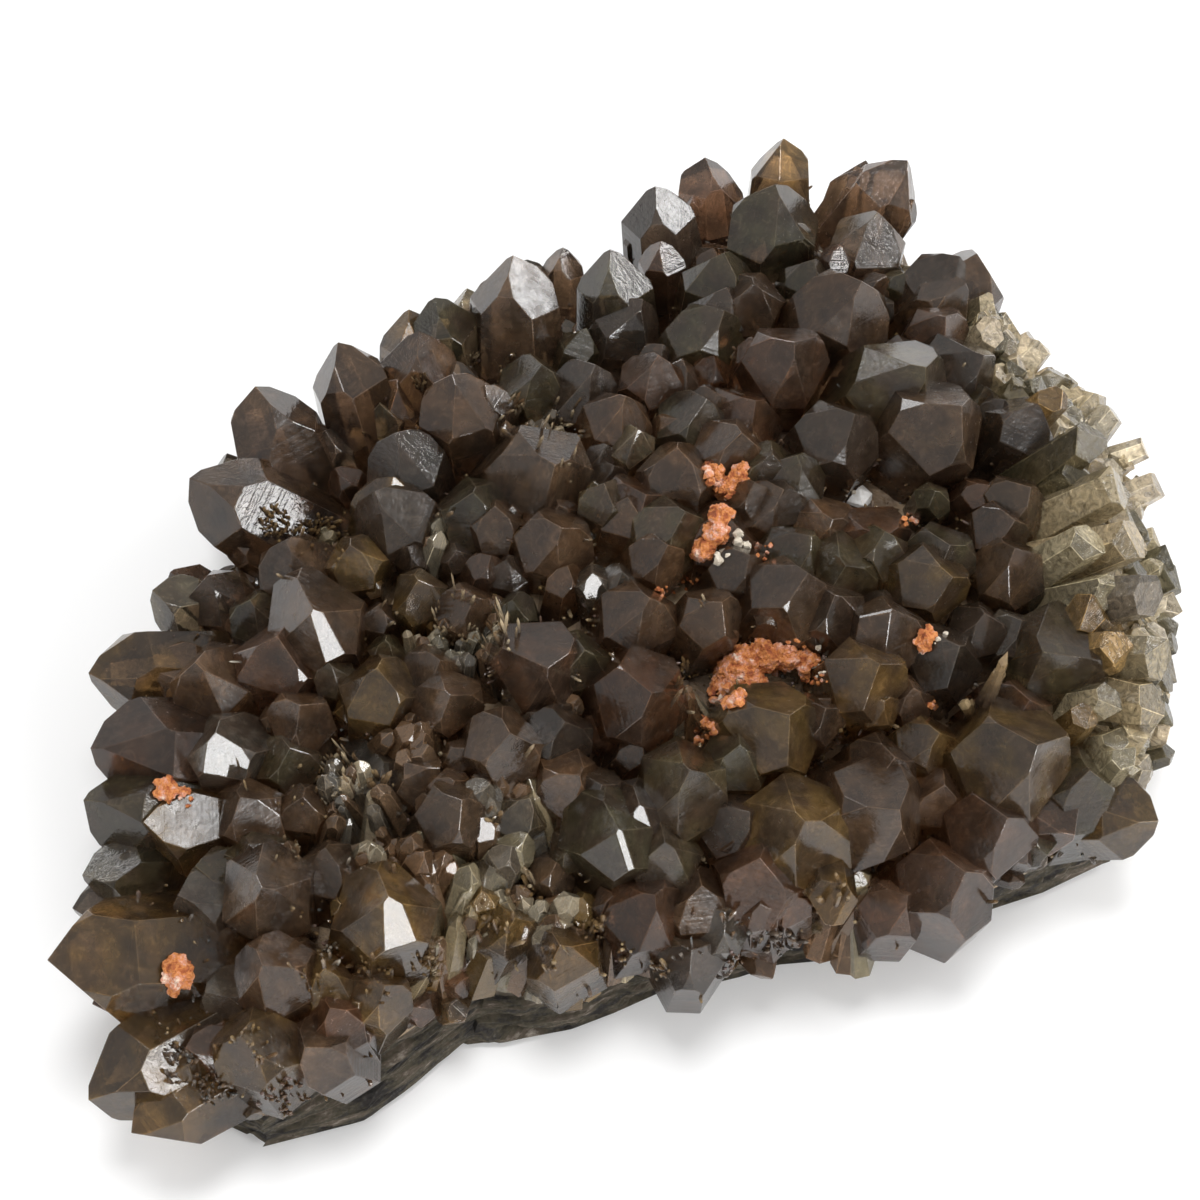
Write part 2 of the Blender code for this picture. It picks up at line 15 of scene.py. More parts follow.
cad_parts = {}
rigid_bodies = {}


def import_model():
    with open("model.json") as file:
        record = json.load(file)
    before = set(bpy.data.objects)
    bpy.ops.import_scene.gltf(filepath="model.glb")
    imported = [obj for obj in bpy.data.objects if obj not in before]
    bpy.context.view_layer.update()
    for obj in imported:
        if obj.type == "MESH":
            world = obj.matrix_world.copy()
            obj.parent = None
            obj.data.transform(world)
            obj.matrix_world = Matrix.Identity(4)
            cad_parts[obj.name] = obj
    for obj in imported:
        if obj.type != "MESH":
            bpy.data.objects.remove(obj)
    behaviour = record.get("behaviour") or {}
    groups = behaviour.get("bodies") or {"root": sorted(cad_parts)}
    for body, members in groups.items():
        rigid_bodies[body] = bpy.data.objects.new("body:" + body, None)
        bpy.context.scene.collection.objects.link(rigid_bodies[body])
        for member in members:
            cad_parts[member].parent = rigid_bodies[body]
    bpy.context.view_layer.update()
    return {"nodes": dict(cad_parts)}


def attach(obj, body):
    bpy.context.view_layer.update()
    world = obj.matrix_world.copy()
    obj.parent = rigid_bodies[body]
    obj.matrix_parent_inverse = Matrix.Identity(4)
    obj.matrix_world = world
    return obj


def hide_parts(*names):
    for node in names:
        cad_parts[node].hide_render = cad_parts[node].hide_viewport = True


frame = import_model()

MM = 0.001

# The view of the photograph, which every crystal's place is read from
# The camera stands 500 mm from the cluster, 58 degrees above the table
PICTURE_WIDTH = 204 * MM
VIEW_ELEVATION = math.radians(58)
VIEW_DISTANCE = 500 * MM
VIEW_TARGET = Vector((-6.7 * MM, -3.95 * MM, 25 * MM))
PICTURE_PIXELS = 1200

TO_VIEWER = Vector((0.0, -math.cos(VIEW_ELEVATION), math.sin(VIEW_ELEVATION)))
VIEW_RIGHT = Vector((1.0, 0.0, 0.0))
VIEW_UP = TO_VIEWER.cross(VIEW_RIGHT)
VIEWER = VIEW_TARGET + TO_VIEWER * VIEW_DISTANCE


def sight_line(u, v):
    """The direction in which the viewer sees the pixel (u, v)."""
    across = (u / PICTURE_PIXELS - 0.5) * PICTURE_WIDTH
    up = (0.5 - v / PICTURE_PIXELS) * PICTURE_WIDTH
    return (VIEW_RIGHT * across + VIEW_UP * up - TO_VIEWER * VIEW_DISTANCE).normalized()


def on_level(u, v, height):
    """The point at this height that the pixel (u, v) shows."""
    line = sight_line(u, v)
    return VIEWER + line * ((height - VIEWER.z) / line.z)


ROCK_RIM_HEIGHT = 11 * MM
ROCK_MIDDLE_HEIGHT = 14 * MM
CRUST_RIM_THICKNESS = 4 * MM
CRUST_DOME_RISE = 13 * MM
GAP = 0.3 * MM

# Quartz habit: the prism's sides close in a little, and the faces of its point slope at this angle
TAPER = 0.07
PYRAMID_DEGREES = 51.8
PYRAMID_SLOPE = math.radians(PYRAMID_DEGREES)
QUARTZ_IOR = 1.544
# Points wider than this are in the CAD solid too
SMALLEST_MODELLED = 9.9 * MM
# A crystal's foot stands this far inside the grown-together quartz
FOOT_DEPTH = 2 * MM

# Outlines of the slab, as picture pixels, counterclockwise from the front left corner
Outline = namedtuple("Outline", "height pixels")

CRUST_RIM = Outline(13 * MM, [
    (190, 1112), (250, 1118), (310, 1120), (352, 1085), (400, 1030), (440, 985), (500, 978),
    (560, 982), (620, 965), (690, 965), (740, 955), (800, 938), (860, 925), (900, 912),
    (960, 900), (1010, 880), (1070, 850), (1110, 835), (1140, 800), (1146, 740), (1158, 690),
    (1160, 620), (1146, 540), (1116, 460), (1060, 400), (985, 330), (905, 262), (780, 268),
    (650, 310), (520, 365), (420, 405), (330, 470), (262, 560), (210, 640), (180, 720),
    (165, 800), (155, 880), (140, 960), (150, 1060),
])
SLAB_CENTRE = Vector((-3.7 * MM, -9.95 * MM, 0.0))
RING_POINTS = 52


def radii(outline):
    """The outline's distance from the slab's centre in each of RING_POINTS directions."""
    corners = [on_level(u, v, outline.height) - SLAB_CENTRE for u, v in outline.pixels]
    angles = np.array([math.atan2(corner.y, corner.x) for corner in corners])
    order = np.argsort(angles)
    reach = np.array([math.hypot(corner.x, corner.y) for corner in corners])
    rays = np.linspace(-math.pi, math.pi, RING_POINTS, endpoint=False)
    return np.interp(rays, angles[order], reach[order], period=2 * math.pi)


RIM_RADII = radii(CRUST_RIM)


def share_of_rim(point):
    """0 at the slab's centre, 1 on the crust's rim."""
    offset = point - SLAB_CENTRE
    turn = (math.atan2(offset.y, offset.x) + math.pi) / (2 * math.pi) * RING_POINTS
    rim = np.interp(turn, np.arange(RING_POINTS), RIM_RADII, period=RING_POINTS)
    return math.hypot(offset.x, offset.y) / float(rim)


def rock_top(share):
    return ROCK_MIDDLE_HEIGHT + (ROCK_RIM_HEIGHT - ROCK_MIDDLE_HEIGHT) * min(share, 1.2)


def crust_top(share):
    """Height of the grown-together quartz from which the points rise."""
    rise = CRUST_DOME_RISE * (1 - share**2.4)
    return rock_top(share) + CRUST_RIM_THICKNESS + max(rise, -12 * MM)


# The points: tip_u and tip_v in the picture, width across the flats in millimetres, heading in
# degrees anticlockwise from the picture's right, lean in degrees away from the viewer
Point = namedtuple("Point", "tip_u tip_v width heading lean tint")

POINTS = [Point(*row) for row in [
    # back edge, left to right
    (189, 478, 14.0, 150, 60, "brown"), (227, 453, 6.0, 100, 60, "grey"),
    (255, 386, 13.5, 110, 60, "brown"), (290, 449, 8.5, 100, 40, "olive"),
    (338, 342, 12.0, 105, 60, "brown"), (325, 430, 7.0, 100, 45, "grey"),
    (409, 309, 9.0, 92, 64, "honey"), (452, 374, 13.0, 100, 45, "brown"),
    (467, 288, 7.0, 95, 62, "pale"), (513, 255, 13.0, 92, 60, "brown"),
    (527, 259, 6.0, 92, 54, "grey"), (563, 247, 6.5, 90, 60, "brown"),
    (610, 249, 11.0, 95, 58, "olive"), (655, 186, 11.5, 100, 52, "dark"),
    (727, 248, 7.0, 40, 45, "brown"), (705, 157, 10.0, 95, 62, "red"),
    (784, 138, 10.0, 88, 64, "honey"), (775, 184, 15.0, 90, 46, "olive"),
    (866, 160, 8.5, 75, 60, "brown"), (908, 160, 12.0, 55, 58, "brown"),
    (878, 212, 11.0, 75, 42, "grey"), (862, 281, 14.5, 60, 35, "brown"),
    (795, 342, 13.5, 70, 22, "red"), (643, 299, 10.5, 60, 48, "dark"),
    (727, 287, 9.5, 80, 45, "dark"), (682, 359, 7.0, 75, 42, "brown"),
    (966, 283, 9.5, 40, 45, "brown"), (926, 367, 15.5, 35, 25, "olive"),
    (990, 372, 7.5, 320, 45, "honey"), (985, 386, 7.0, 70, 35, "olive"),
    # upper left
    (380, 404, 7.5, 85, 35, "olive"), (397, 379, 8.5, 85, 42, "brown"),
    (389, 477, 9.5, 85, 45, "honey"), (495, 506, 8.5, 90, 35, "brown"),
    (555, 465, 15.5, 20, 15, "brown"), (562, 528, 10.5, 60, 22, "brown"),
    (475, 597, 8.5, 60, 28, "brown"), (418, 580, 8.5, 90, 28, "honey"),
    (350, 545, 9.5, 100, 32, "honey"), (285, 540, 11.0, 105, 38, "brown"),
    (203, 580, 9.0, 120, 35, "dark"), (152, 590, 8.5, 150, 52, "pale"),
    (170, 572, 7.0, 140, 50, "red"), (250, 600, 8.0, 100, 30, "olive"),
    (88, 673, 12.5, 175, 56, "honey"), (140, 660, 10.0, 150, 42, "brown"),
    (90, 748, 15.0, 172, 54, "red"), (195, 662, 12.5, 115, 32, "brown"),
    (217, 728, 12.5, 100, 32, "grey"), (277, 636, 12.5, 85, 32, "red"),
    (310, 603, 15.0, 90, 18, "brown"), (377, 668, 10.5, 90, 32, "honey"),
    (300, 705, 10.0, 80, 26, "brown"), (290, 748, 8.5, 80, 28, "olive"),
    # left edge and lower left
    (83, 800, 13.0, 165, 56, "olive"), (143, 822, 12.0, 165, 45, "honey"),
    (240, 797, 10.5, 110, 28, "brown"), (303, 797, 7.5, 80, 28, "brown"),
    (82, 875, 9.5, 175, 56, "olive"), (72, 908, 6.5, 180, 56, "grey"),
    (195, 866, 8.5, 150, 40, "olive"), (178, 895, 10.0, 150, 35, "grey"),
    (248, 841, 8.5, 110, 30, "olive"), (262, 888, 13.5, 90, 12, "brown"),
    (325, 848, 8.0, 95, 38, "brown"), (386, 890, 14.5, 80, 27, "honey"),
    (47, 960, 16.0, 178, 56, "honey"), (92, 1004, 11.5, 195, 48, "red"),
    (262, 965, 11.5, 120, 20, "brown"), (205, 992, 7.5, 150, 30, "grey"),
    (88, 1100, 13.5, 205, 55, "honey"), (131, 1133, 11.0, 210, 55, "honey"),
    (240, 1035, 11.5, 110, 26, "honey"), (185, 1048, 8.5, 160, 34, "red"),
    (330, 1008, 9.0, 100, 26, "red"), (385, 985, 9.0, 60, 30, "honey"),
    (325, 968, 8.0, 80, 30, "honey"),
    # the middle
    (626, 396, 10.0, 70, 38, "brown"), (636, 428, 7.5, 80, 35, "pale"),
    (604, 483, 8.5, 90, 38, "olive"), (628, 497, 7.5, 80, 38, "brown"),
    (677, 447, 11.0, 90, 36, "brown"), (668, 545, 8.5, 50, 28, "brown"),
    (621, 570, 6.5, 80, 35, "grey"), (592, 571, 6.5, 100, 35, "grey"),
    (650, 598, 10.5, 60, 30, "brown"), (548, 668, 13.0, 20, 10, "red"),
    (512, 600, 7.0, 100, 30, "olive"), (652, 693, 13.5, 30, 15, "red"),
    (585, 650, 9.0, 60, 25, "olive"), (565, 722, 9.5, 60, 25, "dark"),
    (510, 733, 11.5, 60, 22, "brown"), (440, 660, 8.0, 60, 25, "brown"),
    (580, 775, 10.0, 30, 22, "brown"), (602, 785, 9.0, 60, 25, "dark"),
    (462, 800, 10.5, 60, 24, "brown"), (440, 768, 8.0, 30, 40, "brown"),
    (400, 815, 9.5, 320, 36, "grey"), (615, 822, 13.5, 80, 18, "olive"),
    (638, 800, 10.5, 90, 24, "dark"), (665, 842, 11.0, 80, 22, "olive"),
    (690, 770, 13.0, 80, 22, "olive"), (740, 745, 10.0, 90, 22, "olive"),
    (655, 895, 12.0, 60, 24, "red"), (530, 798, 7.5, 60, 38, "pale"),
    (490, 866, 6.5, 80, 35, "pale"), (560, 945, 9.5, 100, 22, "honey"),
    (515, 918, 8.5, 60, 30, "honey"),
    # right of the middle
    (721, 396, 8.0, 50, 28, "brown"), (755, 400, 7.5, 50, 30, "brown"),
    (742, 431, 8.5, 85, 40, "brown"), (688, 418, 7.0, 45, 30, "brown"),
    (855, 414, 12.0, 60, 30, "dark"), (797, 455, 9.5, 85, 38, "olive"),
    (790, 487, 8.5, 70, 30, "dark"), (755, 482, 8.0, 80, 35, "brown"),
    (885, 531, 9.0, 80, 35, "olive"), (862, 508, 7.0, 50, 28, "olive"),
    (962, 406, 15.5, 45, 28, "brown"), (1040, 403, 11.0, 60, 40, "dark"),
    (1031, 487, 9.5, 55, 30, "brown"), (1015, 520, 8.5, 45, 25, "brown"),
    (950, 545, 10.0, 60, 18, "olive"), (953, 577, 12.0, 20, 24, "honey"),
    (1015, 548, 10.5, 90, 30, "brown"), (835, 595, 10.0, 90, 28, "dark"),
    (899, 612, 11.5, 75, 30, "brown"), (808, 573, 12.0, 60, 34, "brown"),
    (722, 602, 10.0, 60, 30, "brown"), (750, 555, 8.5, 60, 28, "brown"),
    (880, 664, 12.0, 60, 22, "honey"), (914, 688, 7.0, 80, 26, "brown"),
    (960, 646, 10.5, 50, 26, "dark"), (985, 613, 8.5, 80, 30, "dark"),
    (1022, 620, 8.0, 60, 30, "grey"), (1043, 652, 16.0, 150, 22, "olive"),
    (1038, 745, 17.0, 50, 18, "honey"), (940, 733, 9.0, 50, 28, "honey"),
    (895, 757, 10.0, 60, 25, "brown"), (945, 785, 8.5, 80, 25, "brown"),
    (790, 715, 13.5, 50, 22, "honey"), (826, 708, 8.5, 60, 28, "brown"),
    (805, 821, 16.0, 80, 14, "honey"), (900, 810, 15.0, 20, 20, "brown"),
    (1008, 818, 13.0, 60, 22, "red"), (1075, 835, 12.0, 330, 34, "red"),
    (1090, 770, 12.0, 70, 28, "olive"), (1159, 821, 11.5, 0, 48, "honey"),
    (966, 872, 13.5, 60, 24, "red"), (760, 858, 14.0, 100, 26, "red"),
    (750, 812, 10.0, 60, 25, "dark"), (908, 895, 9.0, 60, 28, "red"),
    (725, 912, 9.0, 70, 22, "grey"), (692, 950, 9.0, 80, 22, "dark"),
    (1030, 700, 11.0, 60, 26, "red"), (1048, 855, 10.0, 300, 30, "olive"),
]]

# Columns of quartz broken off along the right edge, without their tips
BROKEN_POINTS = [Point(*row) for row in [
    (1056, 398, 12.0, 45, 36, "honey"), (1092, 440, 15.0, 40, 40, "olive"),
    (1118, 486, 15.0, 30, 42, "pale"), (1078, 470, 11.0, 40, 34, "olive"),
    (1134, 540, 16.0, 20, 42, "pale"), (1090, 540, 14.0, 40, 34, "pale"),
    (1150, 596, 16.0, 10, 42, "grey"), (1110, 590, 13.0, 20, 34, "pale"),
    (1082, 612, 15.0, 150, 22, "honey"), (1160, 656, 16.0, 5, 42, "pale"),
    (1122, 650, 14.0, 20, 32, "honey"), (1152, 706, 15.0, 350, 42, "pale"),
    (1110, 700, 12.0, 20, 32, "pale"), (1086, 716, 10.0, 60, 26, "honey"),
    (1124, 752, 11.0, 60, 38, "pale"), (836, 905, 15.0, 280, 26, "honey"),
]]


def lean_direction(heading, lean):
    """The crystal's own axis, from the way it points in the picture."""
    heading = math.radians(heading)
    lean = math.radians(lean)
    aside = VIEW_RIGHT * math.cos(heading) + VIEW_UP * math.sin(heading)
    return (TO_VIEWER * math.cos(lean) + aside * math.sin(lean)).normalized()


Crystal = namedtuple("Crystal", "tip axis width length tint broken seed")


def tip_place(point, axis, length):
    """The tip, on its line of sight, where the foot is just inside the grown-together quartz."""
    line = sight_line(point.tip_u, point.tip_v)
    near = 0.7 * VIEW_DISTANCE
    far = 1.3 * VIEW_DISTANCE
    for _ in range(40):
        middle = (near + far) / 2
        foot = VIEWER + line * middle - axis * length
        if foot.z > crust_top(share_of_rim(foot)) - FOOT_DEPTH:
            near = middle
        else:
            far = middle
    return VIEWER + line * far


def listed_crystals():
    crystals = []
    for seed, point in enumerate(POINTS + BROKEN_POINTS):
        width = point.width * MM
        length = width * (1.3 if point.lean < 50 else 1.6) + 5 * MM
        axis = lean_direction(point.heading, point.lean)
        tip = tip_place(point, axis, length)
        broken = point in BROKEN_POINTS
        crystals.append(Crystal(tip, axis, width, length, point.tint, broken, seed))
    return crystals


def filler_crystals(standing, spacing, widths, seed):
    """Points between the listed ones, leaning as their neighbours do and a little lower."""
    rng = random.Random(seed)
    feet = [crystal.tip - crystal.axis * crystal.length for crystal in standing]
    middles = [crystal.tip - crystal.axis * crystal.length * 0.5 for crystal in standing]
    added = []
    across = int(110 * MM / spacing)
    for row in range(-across, across + 1):
        for column in range(-across, across + 1):
            foot = SLAB_CENTRE + Vector((
                (column + row % 2 / 2 + rng.uniform(-0.3, 0.3)) * spacing,
                (row * 0.87 + rng.uniform(-0.3, 0.3)) * spacing,
                0,
            ))
            width = rng.uniform(*widths)
            drop = rng.uniform(0.62, 0.84)
            tint = rng.choice(("brown", "red", "olive", "dark"))
            share = share_of_rim(foot)
            if share > 0.97:
                continue
            foot.z = crust_top(share) - FOOT_DEPTH
            near = sorted(range(len(standing)), key=lambda other: (feet[other] - foot).length)[:5]
            clear = min(
                min((feet[other] - foot).length, (middles[other] - foot).xy.length)
                - standing[other].width / 2
                for other in near
            )
            if clear < width * 0.28:
                continue
            axis = sum((standing[other].axis for other in near[:3]), Vector()).normalized()
            axis += Vector((rng.uniform(-0.2, 0.2), rng.uniform(-0.2, 0.2), 0))
            axis.normalize()
            length = min(standing[other].length for other in near[:3]) * drop + width * 0.3
            tip = foot + axis * length
            added.append(Crystal(tip, axis, width, length, tint, False, 1000 + len(added)))
    return added


# A flashing facet is a small one: its plane clears the tip by this share of the width
FLASH_SET_BACK = 0.1


def square_to(axis, turn):
    """The direction square to the axis, at this turn about it."""
    side = axis.cross(Vector((0.3, 0.2, 1.0))).normalized()
    return side * math.cos(turn) + axis.cross(side) * math.sin(turn)


def crystal_corners(crystal, rng, flash=None):
    """Corners of a six-sided prism with a six-faced point, uneven as natural quartz is.

    A flash is the direction that one face of the point is turned to.
    """
    tip, axis, width, length = crystal.tip, crystal.axis, crystal.width, crystal.length
    turn = rng.uniform(0, math.pi / 3)
    planes = [(-axis, length)]
    slope_in, slope_up = math.sin(PYRAMID_SLOPE), math.cos(PYRAMID_SLOPE)
    for face in range(6):
        outward = square_to(axis, turn + face * math.pi / 3)
        planes.append(((outward + axis * TAPER).normalized(), width / 2 * rng.uniform(0.86, 1.14)))
        if not crystal.broken:
            # the three larger faces meet at the tip, and the three smaller ones cut in lower down
            back = (0.0 if face % 2 == 0 else 0.16) * rng.uniform(0.3, 1.0) * width
            planes.append((outward * slope_in + axis * slope_up, back))
    if crystal.broken:
        tilt = Vector([rng.uniform(-0.45, 0.45) for _ in range(3)])
        planes.append(((axis + tilt).normalized(), 0.0))
        planes.append(((axis - tilt * 1.6).normalized(), 0.12 * width))
    if flash is not None:
        nearest = max(range(1, len(planes)), key=lambda index: planes[index][0].dot(flash))
        planes[nearest] = (flash, FLASH_SET_BACK * width)
    normals = np.array([normal for normal, _ in planes])
    reach = np.array([distance for _, distance in planes])
    triples = np.array(list(combinations(range(len(planes)), 3)))
    systems = normals[triples]
    solvable = np.abs(np.linalg.det(systems)) > 0.02
    meets = np.linalg.solve(systems[solvable], reach[triples[solvable]][..., None])[..., 0]
    inside = (meets @ normals.T <= reach + 1e-7).all(axis=1)
    return [tip + Vector(corner) for corner in meets[inside]]


def opened(mesh):
    shape = bmesh.new()
    shape.from_mesh(mesh)
    return shape


def written(shape, mesh):
    shape.to_mesh(mesh)
    shape.free()
    return mesh


def convex_mesh(name, corners):
    """A closed mesh round the corners, its flat faces whole."""
    shape = bmesh.new()
    for corner in corners:
        shape.verts.new(corner)
    bmesh.ops.remove_doubles(shape, verts=shape.verts, dist=0.02 * MM)
    hull = bmesh.ops.convex_hull(shape, input=shape.verts)
    loose = [item for item in hull["geom_interior"] if isinstance(item, bmesh.types.BMVert)]
    bmesh.ops.delete(shape, geom=loose, context="VERTS")
    bmesh.ops.dissolve_limit(shape, angle_limit=math.radians(0.5), verts=shape.verts, edges=shape.edges)
    bmesh.ops.recalc_face_normals(shape, faces=shape.faces)
    return written(shape, bpy.data.meshes.new(name))


def lofted(name, rings, low_middle, high_middle):
    """A closed body through rings of points, from the bottom ring up, closed at both ends."""
    shape = bmesh.new()
    loops = [[shape.verts.new(point) for point in ring] for ring in rings]
    for lower, upper in zip(loops, loops[1:]):
        for here in range(RING_POINTS):
            after = (here + 1) % RING_POINTS
            shape.faces.new((lower[here], lower[after], upper[after], upper[here]))
    for middle, loop in ((low_middle, loops[0]), (high_middle, loops[-1])):
        hub = shape.verts.new(middle)
        for here in range(RING_POINTS):
            shape.faces.new((loop[here], loop[(here + 1) % RING_POINTS], hub))
    bmesh.ops.recalc_face_normals(shape, faces=shape.faces)
    return written(shape, bpy.data.meshes.new(name))


def ring(radius_list, share, height, rough=0.0):
    """A ring at a share of the radii; height is a number or a function of the share of the rim."""
    points = []
    for index, radius in enumerate(radius_list):
        angle = -math.pi + index * 2 * math.pi / RING_POINTS
        reach = radius * share
        point = SLAB_CENTRE + Vector((math.cos(angle), math.sin(angle), 0)) * reach
        point.z = height(share_of_rim(point)) if callable(height) else height
        if rough:
            lump = noise.noise(point / (9 * MM)) + 0.5 * noise.noise(point / (4 * MM))
            point += Vector((math.cos(angle), math.sin(angle), 0)) * lump * rough
        points.append(point)
    return points


def crust_slab():
    """The grown-together quartz under the points, a shallow dome."""

    def underside(share):
        return rock_top(share) + GAP

    rings = [
        ring(RIM_RADII, 0.97, underside),
        ring(RIM_RADII, 1.0, lambda share: rock_top(share) + 1.5 * MM),
        ring(RIM_RADII, 0.985, lambda share: crust_top(share) - 0.6 * MM),
        ring(RIM_RADII, 0.86, crust_top),
        ring(RIM_RADII, 0.66, crust_top),
        ring(RIM_RADII, 0.38, crust_top),
    ]
    low = SLAB_CENTRE + Vector((0, 0, underside(0.0)))
    high = SLAB_CENTRE + Vector((0, 0, crust_top(0.0)))
    return lofted("crust slab", rings, low, high)


# Broken quartz along the right edge, where the cluster was split from its vein: short pale columns
# with stepped fracture faces, crowded between the listed ones; left of BREAK_STARTS all is whole
BREAK_STARTS = 975
BROKEN_BAND = [
    (975, 300), (1000, 305), (1030, 380), (1062, 395), (1100, 440), (1125, 500), (1150, 580),
    (1160, 640), (1155, 710), (1142, 760), (1118, 770), (1100, 700), (1075, 640), (1085, 560),
    (1060, 480), (1040, 420), (1000, 372),
]


def inside(u, v, corners):
    """Whether the pixel lies inside the closed line through the corners."""
    crossings = 0
    for (left, top), (right, bottom) in zip(corners, corners[1:] + corners[:1]):
        if (top > v) != (bottom > v) and u < left + (v - top) / (bottom - top) * (right - left):
            crossings += 1
    return crossings % 2 == 1


def broken_columns(count, widths, seed):
    rng = random.Random(seed)
    columns = []
    while len(columns) < count:
        u, v = rng.uniform(960, 1170), rng.uniform(290, 780)
        width = rng.uniform(*widths)
        heading = rng.uniform(5, 75)
        lean = rng.uniform(25, 70)
        length = width * rng.uniform(1.0, 1.8) + 5 * MM
        tint = rng.choice(("pale", "pale", "clear", "olive"))
        if not inside(u, v, BROKEN_BAND):
            continue
        axis = lean_direction(heading, lean)
        tip = tip_place(Point(u, v, 0, heading, lean, tint), axis, length)
        columns.append(Crystal(tip, axis, width, length, tint, True, 3000 + len(columns)))
    return columns


def rim_crystals(count, bearings, broken, tints, seed):
    """Short crystals all over the crust's side, pointing outward, between two bearings."""
    rng = random.Random(seed)
    added = []
    for index in range(count):
        bearing = math.radians(rng.uniform(*bearings))
        outward = Vector((math.cos(bearing), math.sin(bearing), 0))
        rim = 1 / share_of_rim(SLAB_CENTRE + outward)
        foot = SLAB_CENTRE + outward * rim * rng.uniform(0.84, 0.98)
        foot.z = rock_top(1) + rng.uniform(0.6, 5.0) * MM
        aside = outward.cross(Vector((0, 0, 1))) * rng.uniform(-0.35, 0.35)
        axis = outward * rng.uniform(0.5, 1.3) + aside + Vector((0, 0, rng.uniform(0.25, 0.9)))
        axis.normalize()
        width = rng.uniform(2.6, 5.8) * MM
        length = rng.uniform(4.5, 7.5) * MM
        tip = foot + axis * length
        tint = rng.choice(tints)
        added.append(Crystal(tip, axis, width, length, tint, broken, seed * 1000 + index))
    return added


def off_the_edge(crystals):
    """The crystals that don't stand where the cluster is broken off, nor outside that edge."""
    kept = []
    for crystal in crystals:
        u, v = picture_pixel(crystal.tip)
        beyond = any(inside(u - step, v + step * 0.4, BROKEN_BAND) for step in range(0, 100, 10))
        if crystal.broken or u < BREAK_STARTS or not beyond:
            kept.append(crystal)
    return kept


def companions(crystals, seed):
    """Smaller points grown parallel to a crystal, on its flanks and a little lower."""
    rng = random.Random(seed)
    added = []
    for crystal in crystals:
        if crystal.broken or crystal.width < 8 * MM:
            continue
        for _ in range(rng.choice((0, 1, 1, 2, 3))):
            outward = square_to(crystal.axis, rng.uniform(0, 2 * math.pi))
            width = crystal.width * rng.uniform(0.22, 0.55)
            drop = rng.uniform(0.35, 0.8) * crystal.width
            tip = crystal.tip + outward * crystal.width * rng.uniform(0.36, 0.5) - crystal.axis * drop
            length = min(crystal.length - drop, width * 2.4)
            axis = (crystal.axis + outward * rng.uniform(0.0, 0.12)).normalized()
            seed = 5000 + len(added)
            added.append(Crystal(tip, axis, width, length, crystal.tint, False, seed))
    return added


# Where rusty crumbs and white grains lie in the hollows, as the picture shows them, and where the
# white chip lies: no added point grows over them
Crumbs = namedtuple("Crumbs", "u v reach count size")

CHIP_SPOT = [Crumbs(857, 497, 12, 0, 0)]
RUST_CRUMBS = [Crumbs(*row) for row in [
    (732, 682, 24, 44, 3.2), (716, 690, 12, 14, 2.8), (790, 658, 20, 24, 2.4),
    (755, 652, 14, 14, 2.4), (820, 680, 8, 7, 1.5), (705, 687, 8, 8, 2.0),
    (704, 730, 12, 22, 2.2), (665, 590, 9, 8, 1.3), (690, 583, 9, 8, 1.3),
    (714, 474, 11, 18, 2.6), (742, 473, 8, 12, 2.4), (725, 488, 12, 14, 2.2), (721, 516, 7, 8, 1.6),
    (716, 532, 11, 14, 1.9), (702, 550, 9, 8, 1.8), (763, 549, 10, 8, 1.4), (926, 640, 10, 12, 1.6),
    (934, 706, 5, 4, 1.6), (165, 791, 9, 8, 1.6), (186, 799, 8, 6, 1.2), (176, 974, 10, 8, 1.6),
    (909, 520, 7, 5, 1.6),
]]
WHITE_GRAINS = [Crumbs(*row) for row in [
    (764, 665, 7, 5, 2.2), (740, 540, 8, 8, 2.6), (720, 552, 10, 7, 2.2), (815, 657, 12, 5, 2.4),
    (176, 974, 12, 6, 1.4), (938, 636, 8, 5, 1.2), (857, 498, 14, 5, 1.6), (820, 672, 6, 4, 1.2),
]]


def picture_pixel(place):
    """The pixel at which the viewer sees the place."""
    offset = place - VIEWER
    scale = PICTURE_PIXELS / PICTURE_WIDTH * VIEW_DISTANCE / -offset.dot(TO_VIEWER)
    half = PICTURE_PIXELS / 2
    return half + offset.dot(VIEW_RIGHT) * scale, half - offset.dot(VIEW_UP) * scale


def pixels(length):
    """A length at the cluster, in pixels of the picture."""
    return length / PICTURE_WIDTH * PICTURE_PIXELS


def pixel_in(spot, rng):
    """A random pixel within the spot's reach."""
    turn = rng.uniform(0, 2 * math.pi)
    away = spot.reach * math.sqrt(rng.random())
    return spot.u + away * math.cos(turn), spot.v + away * math.sin(turn)


def clear_of(spots, crystals):
    """The crystals whose tips the picture doesn't show over any of the spots."""
    kept = []
    for crystal in crystals:
        u, v = picture_pixel(crystal.tip)
        half_width = pixels(crystal.width / 2)
        if all(math.hypot(spot.u - u, spot.v - v) > spot.reach + half_width for spot in spots):
            kept.append(crystal)
    return kept


def uncovered(spots, crystals):
    """The crystals whose bodies the picture doesn't show across any of the spots."""
    kept = []
    for crystal in crystals:
        tip = Vector(picture_pixel(crystal.tip))
        foot = Vector(picture_pixel(crystal.tip - crystal.axis * crystal.length))
        half_width = pixels(crystal.width / 2)
        for spot in spots:
            middle = Vector((spot.u, spot.v))
            share = min(max((middle - foot).dot(tip - foot) / (tip - foot).length_squared, 0), 1)
            if (foot.lerp(tip, share) - middle).length < spot.reach + half_width:
                break
        else:
            kept.append(crystal)
    return kept


# Slender points, two or three times as long as wide, which crowd the hollows of the left half and
# the front; their tints run from brown to almost clear
Slender = namedtuple("Slender", "u v reach count heading widest tints")

